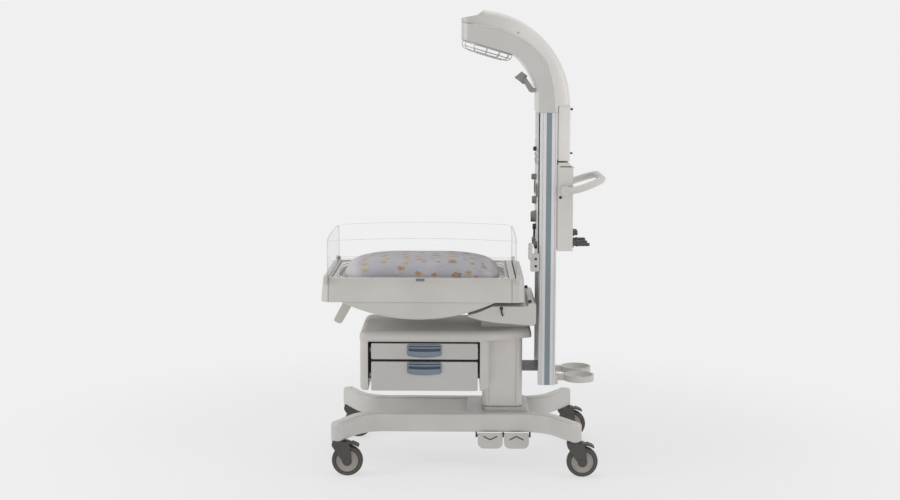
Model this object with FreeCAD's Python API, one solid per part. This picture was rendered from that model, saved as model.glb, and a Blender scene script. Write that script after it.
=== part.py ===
import FreeCAD, Part
import math
import os

os.makedirs("parts", exist_ok=True)
V = FreeCAD.Vector

# Fits, all in millimetres
gap = 0.3
runGap = 0.05

# Base
wheelR = 62.5
wheelHalf = 16.0
casterFootX = -500.5
casterHeadX = 439.5
casterY = 300.0
trail = 35.0
crownHeight = 14.2
crownClear = 2.5
legBottom = 2 * wheelR + crownClear + crownHeight + gap
legHeight = 78.0
legTop = legBottom + legHeight
legY = 142.0
legWidth = 50.0
legKneeFootX = -415.0
legKneeHeadX = 335.0
legEdge = 12.0
legBend = 130.0
legNose = 22.0
stemR = 8.0
stemDepth = 42.0
axleR = 6.0
crownR = 26.0
bladeThick = 6.0
crossX0 = 15.0
crossX1 = 270.0

# Pedals
pedalAxleR = 5.0
pedalDrop = 17.0
pedalAxleY = -legY - 6.0
pedalAxleZ = legBottom - pedalDrop
pedalMid = 162.0
pedalWidth = 101.0
pedalGap = 6.0
pedalSpacing = pedalWidth + pedalGap
pedalX0 = pedalMid - (pedalSpacing + pedalWidth) / 2

# Lift column
sleeveX0 = 78.0
sleeveX1 = 241.0
sleeveHalf = 95.0
sleeveCorner = 25.0
stageWall = 7.0
flangeThick = 14.0
flangeTop = legTop + flangeThick
sleeveClear = 2.0
sleeveBottom = flangeTop + sleeveClear

# Cabinet and cover
cabX0 = -422.0
cabHalf = 205.0
cabGround = 102.0
cabBottom = legTop + cabGround
cabX1 = sleeveX0 + 26.0
footWall = 33.0
headWall = 13.0
backWall = 6.0
roofWall = 4.0
openX0 = cabX0 + footWall
openX1 = sleeveX0 - headWall
frontX0 = openX0 + 13.0
frontX1 = openX1 - 9.0
frontThick = 16.0
lowerHeight = 120.0
upperHeight = 66.0
drawerSpace = 9.0
drawerClear = 1.0
roofClear = 7.0
lowerZ = cabBottom + drawerClear
upperZ = lowerZ + lowerHeight + drawerSpace
openZ1 = upperZ + upperHeight + roofClear
coverBottom = openZ1 + roofWall
coverThick = 38.0
coverTop = coverBottom + coverThick
coverEdge = 26.0
cabCorner = 30.0
coverOver = 3.0
backBottom = upperZ - 22.0
backClear = 19.0
drawerBack = cabHalf - backWall - backClear
pullWidth = 142.0
pullHeight = 56.0
pullX = (frontX0 + frontX1) / 2
railDepth = 18.0
railHeight = 27.0
grooveDepth = 12.0
grooveHeight = 15.0

# Bed
tiltX = 160.0
tiltRise = 108.0
tiltZ = coverTop + tiltRise
tiltPinR = 8.0
tiltLugR = 15.0
tiltDrop = 25.0
armHalf = 210.0
armTop = tiltZ - 3.0
trayX0 = -571.5
trayX1 = 242.0
trayBottom = tiltZ + tiltDrop
trayDepth = 94.0
rimZ = trayBottom + trayDepth
trayDraft = 22.0
trayHalfLow = 290.0
trayHalfRim = trayHalfLow - trayDraft
wellDepth = 32.0
floorZ = rimZ - wellDepth
rimWidth = 22.0
bedHalf = trayHalfRim - rimWidth
bedX0 = trayX0 + 43.5
bedX1 = trayX1 - 70.0
panelThick = 6.0
panelRise = 158.0
panelTop = rimZ + panelRise
beadR = 5.0
beadZ = rimZ + 6.5
sideBeadY = trayHalfRim + 15.0
footBeadX = trayX0 + 26.5
headPanelX = trayX1 - 36.0
headHalf = trayHalfRim - 10.0
slotDepth = 24.0
sidePanelX0 = footBeadX + 1.0
sidePanelX1 = headPanelX
footHalf = trayHalfRim - 6.0
pinR = 3.0
pinReach = 8.0
pinEnd = 1.0
lugWidth = 13.0

# Mast
mastX0 = 302.0
mastDeep = 69.0
mastX1 = mastX0 + mastDeep
mastHalf = 180.0
railWidth = 40.0
railLap = 20.0
mastBottom = 344.0
mastTop = 1450.0
insertX0 = mastX0 + 25.0
insertX1 = insertX0 + 21.5
insertDeep = 4.0
fasciaThick = 14.0
fasciaX0 = mastX0 - 5.0
fasciaX1 = fasciaX0 + fasciaThick
fasciaHalf = mastHalf - railWidth - gap
fasciaBottom = 800.0
flangeDeep = 4.0
boxX0 = mastX1 + flangeDeep
boxX1 = boxX0 + 61.0
boxBottom = 894.0
boxTop = 1251.0
upperX1 = boxX0 + 47.0
upperBottom = boxTop + 6.0
upperTop = mastTop + 27.0
tubeR = 14.5
handleY = mastHalf + tubeR + 1.0
handleEndX = 557.0
ringBore = 56.0
ringWall = 6.5
ringX = mastX1 + 41.5 + ringBore + ringWall
ringY = ringBore + ringWall + 19.5
ringHeight = 24.0
ringZ0 = mastBottom + 1.0
ringZ1 = ringZ0 + ringHeight
linkZ = ringZ1 + 9.0
linkThick = 18.0

# Heater head
headX = mastX0 - 210.0
headFront = (mastX0 - 318.0, mastTop + 293.0)
headRear = (mastX0 - 102.0, mastTop + 229.5)
guardR = 106.0
guardDrop = 36.0
guardWire = 1.6
noseR = 45.0
shoulder = 34.0
coverInset = 8.0
coverHalf = mastHalf - coverInset
skin = 5.0


def box(x0, x1, y0, y1, z0, z1):
    return Part.makeBox(x1 - x0, y1 - y0, z1 - z0, V(x0, y0, z0))


def rod(radius, start, end):
    axis = V(*end) - V(*start)
    return Part.makeCylinder(radius, axis.Length, V(*start), axis)


def place(u, v, plane, level):
    if plane == "xy":
        return V(u, v, level)
    if plane == "xz":
        return V(u, level, v)
    return V(level, u, v)


def outline(points, plane, level):
    # A closed wire through points (u, v) or (u, v, corner radius)
    flat = [(p[0], p[1], p[2] if len(p) > 2 else 0.0) for p in points]
    edges = []
    ends = []
    count = len(flat)
    for i in range(count):
        before = V(flat[i - 1][0], flat[i - 1][1], 0)
        here = V(flat[i][0], flat[i][1], 0)
        after = V(flat[(i + 1) % count][0], flat[(i + 1) % count][1], 0)
        radius = flat[i][2]
        if radius <= 0:
            ends.append((here, None, here))
            continue
        a = (before - here).normalize()
        b = (after - here).normalize()
        half = a.getAngle(b) / 2
        reach = radius / math.tan(half)
        centre = here + (a + b).normalize() * (radius / math.sin(half))
        middle = centre + (here - centre).normalize() * radius
        ends.append((here + a * reach, middle, here + b * reach))
    for i in range(count):
        first, middle, last = ends[i]
        following = ends[(i + 1) % count][0]
        p = place(first.x, first.y, plane, level)
        q = place(last.x, last.y, plane, level)
        r = place(following.x, following.y, plane, level)
        if middle is not None:
            m = place(middle.x, middle.y, plane, level)
            edges.append(Part.Arc(p, m, q).toShape())
        if (r - q).Length > 1e-6:
            edges.append(Part.makeLine(q, r))
    return Part.Wire(edges)


def prism(points, plane, low, high):
    face = Part.Face(outline(points, plane, low))
    return face.extrude(place(0, 0, plane, high - low))


def rect(u0, u1, v0, v1, radius):
    return [(u0, v0, radius), (u1, v0, radius), (u1, v1, radius), (u0, v1, radius)]


def soften(shape, radius, test):
    edges = [e for e in shape.Edges if test(e.BoundBox)]
    return shape.makeFillet(radius, edges)


def fuse(first, *others):
    return first.fuse(list(others)).removeSplitter()


def mirrorY(shape):
    return shape.mirror(V(0, 0, 0), V(0, 1, 0))


def turn(shape, point, axis, degrees):
    copy = shape.copy()
    copy.rotate(V(*point), V(*axis), degrees)
    return copy


def shift(shape, x, y, z):
    copy = shape.copy()
    copy.translate(V(x, y, z))
    return copy


nodes = {}


# Legs: a straight middle and two flared ends, with a blind hole for each caster stem
def offsetLine(points, width):
    left = []
    right = []
    for i, p in enumerate(points):
        here = V(p[0], p[1], 0)
        dirs = []
        if i > 0:
            dirs.append((here - V(points[i - 1][0], points[i - 1][1], 0)).normalize())
        if i < len(points) - 1:
            dirs.append((V(points[i + 1][0], points[i + 1][1], 0) - here).normalize())
        mean = dirs[0] if len(dirs) == 1 else (dirs[0] + dirs[1]).normalize()
        side = V(-mean.y, mean.x, 0)
        stretch = width / 2 / max(0.2, abs(mean.dot(dirs[0])))
        bend = legBend if len(dirs) == 2 else legNose
        left.append((here.x + side.x * stretch, here.y + side.y * stretch, bend))
        right.append((here.x - side.x * stretch, here.y - side.y * stretch, bend))
    return left + right[::-1]


legFlare = 26.0
footEnd = (casterFootX - 16.0, -casterY - legFlare)
headEnd = (casterHeadX + 19.0, -casterY - legFlare)
legLine = [footEnd, (legKneeFootX, -legY), (legKneeHeadX, -legY), headEnd]
leg = prism(offsetLine(legLine, legWidth), "xy", legBottom, legTop)
leg = soften(leg, legEdge, lambda b: b.ZLength < 0.01)
for axisX in (casterFootX, casterHeadX):
    mouth = (axisX, -casterY, legBottom - 1)
    leg = leg.cut(rod(stemR + runGap, mouth, (axisX, -casterY, legBottom + stemDepth)))
nodes["base_leg_near"] = leg
nodes["base_leg_far"] = mirrorY(leg)

legInner = legY - legWidth / 2
cross = box(crossX0, crossX1, -legInner, legInner, legBottom, legTop)
nodes["base_crossmember"] = soften(cross, 8.0, lambda b: b.XLength < 0.01 and b.ZLength < 0.01)


# Casters: crown and stem, two blades down to the axle, wheel and brake lever
brakeX = trail - 3.0
brakeZ = legBottom - 6.0


def casterFork():
    crown = rod(crownR, (0, 0, 2 * wheelR + crownClear), (0, 0, legBottom - gap))
    stem = rod(stemR, (0, 0, legBottom - gap), (0, 0, legBottom + stemDepth - 2))
    bladeIn = wheelHalf + 1.5
    top = legBottom - 2
    foot = wheelR - 19
    blade = prism([(-26, top, 6), (trail + 7, top, 8), (trail + 10, top - 14, 8), (trail + 19.5, wheelR + 1.5, 19),
                   (trail + 15, foot, 18), (trail - 15, foot, 18), (trail - 20.5, wheelR + 3.5, 22),
                   (-26, top - 16, 8)], "xz", bladeIn, bladeIn + bladeThick)
    pinHole = rod(pinR + runGap, (brakeX, -40, brakeZ), (brakeX, 40, brakeZ))
    axle = rod(axleR, (trail, -bladeIn - bladeThick - 3, wheelR), (trail, bladeIn + bladeThick + 3, wheelR))
    capA = rod(11.0, (trail, bladeIn + bladeThick, wheelR), (trail, bladeIn + bladeThick + 3, wheelR))
    body = fuse(crown, stem, blade, mirrorY(blade), axle, capA, mirrorY(capA))
    return body.cut(pinHole)


def casterWheel():
    hubR = wheelR - 18.5
    half = [(axleR + runGap, wheelHalf - 2), (18, wheelHalf - 2), (20, wheelHalf - 6), (hubR - 3, wheelHalf - 6),
            (hubR, wheelHalf), (wheelR - 7.5, wheelHalf, 4), (wheelR, wheelHalf - 6, 10)]
    section = half + [(p[0], -p[1]) + p[2:] for p in half[::-1]]
    face = Part.Face(outline(section, "xy", 0))
    wheel = face.revolve(V(0, 0, 0), V(0, 1, 0), 360)
    return shift(wheel, trail, 0, wheelR)


def casterBrake():
    reach = wheelHalf + 1.2
    barrel = rod(5.0, (brakeX, -reach, brakeZ), (brakeX, reach, brakeZ))
    pin = rod(pinR, (brakeX, -reach - bladeThick, brakeZ), (brakeX, reach + bladeThick, brakeZ))
    side = [(0, -4.5), (10, -6), (26, -7.5, 12), (43, -14), (49, -18, 2), (51, -12, 3), (44, -6, 3),
            (24, 2.5, 3), (18, -0.5, 4), (5, 4.5, 3), (0, 4.5)]
    lever = shift(prism(side, "xz", -reach, reach), brakeX, 0, brakeZ)
    return fuse(barrel, pin, lever)


ends = {"foot_near": (casterFootX, -casterY), "foot_far": (casterFootX, casterY),
        "head_near": (casterHeadX, -casterY), "head_far": (casterHeadX, casterY)}
for end, (x, y) in ends.items():
    nodes["caster_fork_" + end] = shift(casterFork(), x, y, 0)
    nodes["caster_wheel_" + end] = shift(casterWheel(), x, y, 0)
    nodes["caster_brake_" + end] = shift(casterBrake(), x, y, 0)


# Pedals on one axle below the near leg
bracketXs = (pedalX0 - 9.0, pedalX0 + pedalWidth + 0.5, pedalX0 + pedalSpacing + pedalWidth + 3.0)
lugs = []
for lugX, lugW in zip(bracketXs, (6.0, 5.0, 6.0)):
    cheek = [(pedalAxleY - 14, legBottom), (pedalAxleY + 14, legBottom), (pedalAxleY + 14, pedalAxleZ - 7, 10),
             (pedalAxleY - 14, pedalAxleZ - 7, 10)]
    lugs.append(prism(cheek, "yz", lugX, lugX + lugW))
axle = rod(pedalAxleR, (bracketXs[0], pedalAxleY, pedalAxleZ), (bracketXs[2] + 6.0, pedalAxleY, pedalAxleZ))
plate = box(bracketXs[0], bracketXs[2] + 6.0, pedalAxleY + 14, pedalAxleY + 28, legBottom - 6, legBottom)
nodes["pedal_bracket"] = fuse(axle, plate, *lugs)


def pedal(x0):
    x1 = x0 + pedalWidth
    barrel = rod(10.0, (x0 + gap, pedalAxleY, pedalAxleZ), (x1 - gap, pedalAxleY, pedalAxleZ))
    web = prism([(-2, -8), (-2, 8), (-30, 15), (-48, -11), (-42, -21)], "yz", x0 + 20, x1 - 20)
    web = shift(web, 0, pedalAxleY, pedalAxleZ)
    pad = prism([(x0, 0, 24), (x1, 0, 24), (x1, 64, 8), (x0, 64, 8)], "xz", -4, 4)
    pad = soften(pad, 2.5, lambda b: b.YLength < 0.01 and b.YMin < 0)
    pad = shift(turn(pad, (0, 0, 0), (1, 0, 0), -32), 0, pedalAxleY - 63, pedalAxleZ - 37)
    body = fuse(barrel, web, pad)
    bore = rod(pedalAxleR + runGap, (x0 - 1, pedalAxleY, pedalAxleZ), (x1 + 1, pedalAxleY, pedalAxleZ))
    return body.cut(bore)


nodes["pedal_down"] = pedal(pedalX0)
nodes["pedal_up"] = pedal(pedalX0 + pedalSpacing)


# Lift column: fixed post, middle stage and outer sleeve, each sliding in the next
def tube(inset, low, high):
    a = inset
    b = inset + stageWall
    x0, x1, h = sleeveX0, sleeveX1, sleeveHalf
    outer = prism(rect(x0 + a, x1 - a, -h + a, h - a, sleeveCorner - a), "xy", low, high)
    inner = prism(rect(x0 + b, x1 - b, -h + b, h - b, sleeveCorner - b), "xy", low - 1, high + 1)
    return outer.cut(inner)


midInset = stageWall + gap
postInset = midInset + stageWall + gap
nodes["column_sleeve"] = tube(0.0, sleeveBottom, coverBottom)
nodes["column_stage"] = tube(midInset, sleeveBottom + 2, coverBottom - 9)
flangeHalf = sleeveHalf + 15
flange = prism(rect(sleeveX0 + 5, sleeveX1 + 20, -flangeHalf, flangeHalf, 14), "xy", legTop, flangeTop)
nodes["lift_post"] = fuse(flange, tube(postInset, flangeTop, coverBottom - 14))
columnX = (sleeveX0 + sleeveX1) / 2
motor = rod(34.0, (columnX, 0, flangeTop), (columnX, 0, flangeTop + 120))
nodes["lift_motor"] = fuse(motor, rod(14.0, (columnX, 0, flangeTop + 120), (columnX, 0, coverBottom - 24)))

# Top cover over the cabinet and column
coverX0 = cabX0 - coverOver
coverCorner = cabCorner + coverOver
coverX1 = sleeveX1 + 36
coverNeck = sleeveHalf + 23
coverPlan = [(coverX0, -cabHalf, coverCorner), (cabX1 - 4, -cabHalf, 60), (coverX1, -coverNeck, 26), (coverX1, coverNeck, 26),
             (cabX1 - 4, cabHalf, 60), (coverX0, cabHalf, coverCorner)]
cover = prism(coverPlan, "xy", coverBottom, coverTop)
cover = soften(cover, coverEdge, lambda b: b.ZLength < 0.01 and b.ZMin > coverTop - 1)
coverIn = cabHalf - 23
pocket = prism(rect(coverX0 + 20, openX1 - 5, -coverIn, coverIn, 50), "xy", coverBottom - 1, coverTop - 8)
nodes["top_cover"] = cover.cut(pocket)

# Cabinet: open below and to the near side, with a short back and a notch for the column
cabinet = prism(rect(cabX0, cabX1, -cabHalf, cabHalf, cabCorner), "xy", cabBottom, coverBottom)
cabinet = soften(cabinet, 14.0, lambda b: b.ZMax < cabBottom + 1 and b.XMax < cabX0 + 1)
cabinet = cabinet.cut(box(openX0, openX1, -cabHalf - 1, cabHalf - backWall, cabBottom - 1, openZ1))
cabinet = cabinet.cut(box(openX0, openX1, 0, cabHalf + 1, cabBottom - 1, backBottom))
notch = box(sleeveX0, cabX1 + 1, -sleeveHalf, sleeveHalf, cabBottom - 1, coverBottom + 1)
nodes["cabinet_shell"] = cabinet.cut(notch)

# Drawers on runners in channel rails
drawers = {"upper": (upperZ, upperZ + upperHeight), "lower": (lowerZ, lowerZ + lowerHeight)}
railY0 = -cabHalf + 19
rails = []
for name, (z0, z1) in drawers.items():
    railMid = z0 + (36.0 if name == "upper" else 62.0)
    halfRail = railHeight / 2
    halfGroove = grooveHeight / 2
    for side in (-1, 1):
        wall = openX0 if side < 0 else openX1
        inward = wall - side * railDepth
        bottom = wall - side * (railDepth - grooveDepth)
        low, high = railMid - halfRail, railMid + halfRail
        channel = box(min(wall, inward), max(wall, inward), railY0, drawerBack + 5, low, high)
        low, high = railMid - halfGroove, railMid + halfGroove
        groove = box(min(bottom, inward), max(bottom, inward), railY0 - 1, drawerBack + 6, low, high)
        rails.append(channel.cut(groove))
    front = prism(rect(frontX0, frontX1, z0, z1, 6), "xz", -cabHalf, -cabHalf + frontThick)
    front = soften(front, 3.0, lambda b: b.YLength < 0.01 and b.YMin < -cabHalf + 1)
    trayX0d = openX0 + railDepth + 6
    trayX1d = openX1 - railDepth - 6
    tray = box(trayX0d, trayX1d, -cabHalf + frontThick, drawerBack, z0 + 5, z1 - 10)
    tray = tray.cut(box(trayX0d + 3, trayX1d - 3, -cabHalf + frontThick + 3, drawerBack - 3, z0 + 8, z1))
    runners = []
    for side in (-1, 1):
        wall = openX0 if side < 0 else openX1
        deep = wall - side * (railDepth - grooveDepth + gap)
        face = trayX0d if side < 0 else trayX1d
        runners.append(box(min(deep, face), max(deep, face), railY0, drawerBack - 2,
                           railMid - halfGroove + gap, railMid + halfGroove - gap))
    nodes["drawer_" + name] = fuse(front, tray, *runners)
    pullTop = z1 - 2 if name == "upper" else z1
    pullX0 = pullX - pullWidth / 2
    pullX1 = pullX + pullWidth / 2
    pull = prism(rect(pullX0, pullX1, pullTop - pullHeight, pullTop, 12), "xz", -cabHalf - 13, -cabHalf)
    pull = soften(pull, 5.0, lambda b: b.YLength < 0.01 and b.YMin < -cabHalf - 12)
    cup = rect(pullX0 + 12, pullX1 - 12, pullTop - pullHeight + 8, pullTop - 16, 10)
    cup = prism(cup, "xz", -cabHalf - 14, -cabHalf - 4)
    ribs = []
    for x in (pullX - 20, pullX + 20):
        ribs.append(box(x - 3, x + 3, -cabHalf - 12, -cabHalf - 3, pullTop - pullHeight + 6, pullTop - 14))
    nodes["pull_" + name] = fuse(pull.cut(cup), *ribs)
nodes["drawer_rails"] = Part.makeCompound(rails)

# Mast: two side rails with flush inserts, a back panel and the control fascia
rail = box(mastX0, mastX1, -mastHalf, -mastHalf + railWidth, mastBottom, mastTop)
rail = soften(rail, 7.0, lambda b: b.ZLength > 100 and b.YMin < -mastHalf + 1)
insert = box(insertX0, insertX1, -mastHalf, -mastHalf + insertDeep, mastBottom, mastTop)
rail = rail.cut(insert)
for grooveX in (insertX0 - 15, insertX1 + 13):
    rail = rail.cut(box(grooveX, grooveX + 2, -mastHalf - 1, -mastHalf + 2, mastBottom - 1, mastTop + 1))
nodes["mast_rail_near"] = rail
nodes["mast_rail_far"] = mirrorY(rail)
nodes["rail_inserts"] = Part.makeCompound([insert, mirrorY(insert)])
railIn = mastHalf - railWidth
backDeep = 32.0
backThick = 4.0
backX = mastX0 + backDeep
nodes["mast_back_panel"] = box(backX, backX + backThick, -railIn, railIn, mastBottom, mastTop)

screenHalf = 120.0
screenHeight = 120.0
screenTop = mastTop - 18
screen = box(fasciaX0, fasciaX0 + 5, -screenHalf, screenHalf, screenTop - screenHeight, screenTop)
fascia = rect(-fasciaHalf, fasciaHalf, fasciaBottom, mastTop - gap, 6)
fascia = prism(fascia, "yz", fasciaX0, fasciaX1)
fascia = soften(fascia, 3.0, lambda b: b.XLength < 0.01 and b.XMin < fasciaX0 + 1)
fascia = fascia.cut(screen)
nodes["display_screen"] = screen

# Turning knobs: centre height, across, diameter, length and end taper
knobY = 15.0
knobs = {"knob_oxygen": (1179.0, knobY, 26.0, 20.0, 0.9), "knob_flow": (1083.0, knobY, 35.0, 17.0, 0.85),
         "knob_suction": (1016.0, knobY, 48.0, 22.0, 0.75)}
shaftR = 4.0
for name, (z, y, across, length, taper) in knobs.items():
    base = fasciaX0 - gap
    cone = Part.makeCone(across / 2, across / 2 * taper, length, V(base, y, z), V(-1, 0, 0))
    shaft = rod(shaftR, (base, y, z), (base + 10, y, z))
    nodes[name] = fuse(cone, shaft)
    fascia = fascia.cut(rod(shaftR + runGap, (fasciaX0 - 1, y, z), (fasciaX0 + 11, y, z)))
nodes["control_fascia"] = fascia

# Hose bracket and paddle, seated on the front of the near rail
bracketY = -mastHalf - 7.0
bracketZ = fasciaBottom + 11
bracketLine = rect(mastX0 - 36, mastX0, bracketZ, bracketZ + 73, 6)
bracket = prism(bracketLine, "xz", bracketY, -mastHalf)
seat = box(mastX0 - 5, mastX0, bracketY + 2, -mastHalf + railWidth - 10, bracketZ + 6, bracketZ + 67)
paddleLine = rect(mastX0 - 44, mastX0 - 28, bracketZ + 47, bracketZ + 114, 6)
paddle = prism(paddleLine, "xz", bracketY - 4, bracketY + 24)
nodes["hose_bracket"] = fuse(bracket, seat, paddle)

# Link from the column to the mast
linkHalf = sleeveHalf - sleeveCorner - 6
nodes["mast_link"] = box(sleeveX1, backX, -linkHalf, linkHalf, linkZ, linkZ + linkThick)

# Rear housings: shells open towards the mast, with flanges to the rails
def housing(line, wall, half, z0, z1):
    shell = prism(line, "xz", -half, half)
    back = max(p[0] for p in line)
    shell = soften(shell, 5.0, lambda b: b.YLength < 0.01 and b.XMin > back - 0.5)
    shell = shell.cut(box(boxX0 - 1, wall, -half + 4, half - 4, z0 + 4, z1 - 4))
    flanges = []
    for side in (-1, 1):
        middle = side * (half - railLap)
        flanges.append(box(mastX1, boxX0 + 4, middle - 16, middle + 16, z0 + 6, min(z1 - 6, mastTop - gap)))
    return fuse(shell, *flanges)


lowerLine = [(boxX0, boxBottom), (boxX1, boxBottom), (boxX1, boxTop - 22), (boxX1 - 19, boxTop),
             (boxX0, boxTop)]
nodes["rear_housing_lower"] = housing(lowerLine, boxX1 - 24, mastHalf, boxBottom, boxTop)
upperLine = [(boxX0, upperBottom), (upperX1, upperBottom), (upperX1, upperTop), (boxX0, upperTop)]
nodes["rear_housing_upper"] = housing(upperLine, upperX1 - 4, coverHalf, upperBottom, upperTop)

# Push handle: a bent tube between two round feet on the lower housing
handleX = boxX0 + 30
handleZ0 = boxTop - 112
handleZ1 = handleZ0 + 42
bendR = 90.0
kneeR = 40.0
start = V(handleX, -handleY, handleZ0)
knee = start + V(46, 0, 4)
corner = V(handleEndX, -handleY, handleZ1)
level = (knee - start).normalize()
slope = (corner - knee).normalize()
kneeA = knee - level * (kneeR / 2)
kneeB = knee + slope * (kneeR / 2)
kneeUp = (slope - level).normalize()
kneeM = knee + kneeUp * (math.tan(level.getAngle(slope) / 4) * kneeR / 2)
bendA = corner - slope * bendR
bendB = corner + V(0, bendR, 0)
bendM = corner + (V(0, 1, 0) - slope) * (bendR * (1 - math.sqrt(0.5)))
near = [Part.makeLine(start, kneeA), Part.Arc(kneeA, kneeM, kneeB).toShape(), Part.makeLine(kneeB, bendA),
        Part.Arc(bendA, bendM, bendB).toShape()]


def flip(p):
    return V(p.x, -p.y, p.z)


far = [Part.Arc(flip(bendB), flip(bendM), flip(bendA)).toShape(), Part.makeLine(flip(bendA), flip(kneeB)),
       Part.Arc(flip(kneeB), flip(kneeM), flip(kneeA)).toShape(), Part.makeLine(flip(kneeA), flip(start))]
path = Part.Wire(near + [Part.makeLine(bendB, flip(bendB))] + far)
ring = Part.Wire([Part.Circle(start, level, tubeR).toShape()])
bar = path.makePipeShell([ring], True, False)
foot = rod(20.0, (handleX, -mastHalf, handleZ0), (handleX, -handleY - 12, handleZ0))
nodes["push_handle"] = fuse(bar, foot, mirrorY(foot))

# Gas inlets on the back of the lower housing: three hose stubs under two capped ports
inletR = 8.0
portR = 10.0
inletPitch = 48.0
inletY = -mastHalf + 40
inletZ = boxBottom + 32
inlets = []
for rank, rise, reach, radius in ((0, 0, 62, inletR), (1, -16, 76, inletR), (2, 0, 62, inletR), (0, 38, 22, portR),
                                    (1, 38, 22, portR)):
    y = inletY + rank * inletPitch
    z = inletZ + rise
    collar = rod(13.0, (boxX1, y, z), (boxX1 + 10, y, z))
    inlets.append(fuse(collar, rod(radius, (boxX1 + 10, y, z), (boxX1 + reach, y, z))))
nodes["gas_inlets"] = Part.makeCompound(inlets)

# Holder for two gas cylinders on the foot of the mast
rings = []
for side in (-1, 1):
    rings.append(rod(ringBore + ringWall, (ringX, side * ringY, ringZ0), (ringX, side * ringY, ringZ1)))
    rings.append(box(mastX1 + 9, ringX - ringBore, side * ringY - 14, side * ringY + 14, ringZ0, ringZ1))
holder = fuse(box(mastX1, mastX1 + 12, -mastHalf + 12, mastHalf - 12, ringZ0, ringZ1), *rings)
for side in (-1, 1):
    holder = holder.cut(rod(ringBore, (ringX, side * ringY, ringZ0 - 1), (ringX, side * ringY, ringZ1 + 1)))
nodes["cylinder_holder"] = holder


# Heater head: the lower shell and the outer cover meet along one seam
def at(point):
    return V(point[0], -mastHalf, point[1])


def line(a, b):
    return Part.makeLine(at(a), at(b))


def arc(a, b, c):
    return Part.Arc(at(a), at(b), at(c)).toShape()


def extruded(edges):
    return Part.Face(Part.Wire(edges)).extrude(V(0, 2 * mastHalf, 0))


def up(x, z):
    return (mastX0 + x, mastTop + z)


seamFoot = up(59, 0)
seamHip = up(28, 194)
seamBend = up(-46, 272)
seamKnee = up(-189, 334)
seamNose = (headFront[0], mastTop + 359)
browNose = (headFront[0], mastTop + 376)
browStep = up(-255, 387)
browTop = up(-225, 408)
backTop = (upperX1, upperTop)
backIn = (boxX0 - 2, upperTop)
backFoot = (boxX0 - 2, mastTop)
seam = [arc(seamFoot, up(52, 89), seamHip), arc(seamHip, up(-8, 238), seamBend),
        arc(seamBend, up(-109, 308), seamKnee), line(seamKnee, seamNose)]
coverLine = [line(seamNose, browNose), line(browNose, browStep), line(browStep, browTop),
             arc(browTop, up(10.4, 296.4), backTop), line(backTop, backIn), line(backIn, backFoot),
             line(backFoot, seamFoot)]
hoodCover = extruded(seam + coverLine)
hoodCover = hoodCover.common(box(headFront[0] - 1, upperX1 + 1, -coverHalf, coverHalf, mastTop - 1, browTop[1] + 1))


def noseEdge(inset, least):
    return lambda b: b.XMax < headFront[0] + inset + 1 and b.ZLength > least and b.YLength < 0.01


hoodCover = soften(hoodCover, noseR, noseEdge(0, 5))
hoodCover = soften(hoodCover, shoulder, lambda b: b.YLength < 0.01 and b.ZMax > browTop[1] - 8 and b.XMax > boxX0)
throat = up(-8, 74)
throatFoot = up(-8, 0)
shellLine = [line(seamNose, headFront), line(headFront, headRear), arc(headRear, up(-49, 172), throat),
             line(throat, throatFoot), line(throatFoot, seamFoot)]
hood = extruded(seam + shellLine)
whole = Part.Face(Part.Wire(coverLine + shellLine)).makeOffset2D(-skin)


def core(side):
    inner = whole.copy()
    inner.translate(V(0, side, 0))
    inner = inner.extrude(V(0, 2 * (mastHalf - side), 0))
    inner = soften(inner, noseR, noseEdge(skin, 30))
    return inner.cut(intoHead(rod(dishR + 4, (0, 0, -20), (0, 0, dishDeep + 4))))


hood = soften(hood, noseR, noseEdge(0, 20))

# Heater parts are drawn upright, then tilted into the lower face of the shell
slope = (headRear[1] - headFront[1]) / (headRear[0] - headFront[0])
headZ = headFront[1] + (headX - headFront[0]) * slope
tiltDeg = math.degrees(math.atan(-slope))


def intoHead(shape):
    return shift(turn(shape, (0, 0, 0), (0, 1, 0), tiltDeg), headX, 0, headZ)


dishR = guardR - 8.0
dishDeep = 48.0
sheet = 1.5
nodes["hood_cover"] = hoodCover.cut(core(coverInset + shoulder - 6))
hood = hood.cut(core(skin))
hood = hood.cut(intoHead(rod(dishR, (0, 0, -20), (0, 0, dishDeep))))
dish = [(dishR, 0), (dishR, 4), (72, dishDeep), (0, dishDeep), (0, dishDeep - sheet),
        (71, dishDeep - sheet), (dishR - sheet, 3.5), (dishR - sheet, 0)]
dishFace = Part.Face(outline(dish, "xz", 0))
nodes["heater_reflector"] = intoHead(dishFace.revolve(V(0, 0, 0), V(0, 0, 1), 360))
coilR = 55.0
coil = shift(Part.makeTorus(coilR, 5.0), 0, 0, 24)
posts = [rod(3.5, (s * coilR, 0, 24), (s * coilR, 0, dishDeep - sheet)) for s in (-1, 1)]
nodes["heater_element"] = intoHead(fuse(coil, *posts))
rim = rod(guardR + 3, (0, 0, -4), (0, 0, -runGap)).cut(rod(guardR - 3, (0, 0, -5), (0, 0, 1)))
basket = [(guardR - 1, -2.5), (guardR * 0.98, -guardDrop * 0.55), (guardR * 0.82, -guardDrop * 0.9),
          (guardR * 0.25, -guardDrop)]
wires = []
for (r0, z0), (r1, z1) in zip(basket, basket[1:]):
    for spoke in range(0, 360, 30):
        wires.append(turn(rod(guardWire, (r0, 0, z0), (r1, 0, z1)), (0, 0, 0), (0, 0, 1), spoke))
    wires.append(shift(Part.makeTorus(r1, guardWire + 0.3), 0, 0, z1))
nodes["heater_guard"] = intoHead(fuse(rim, *wires))

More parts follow.
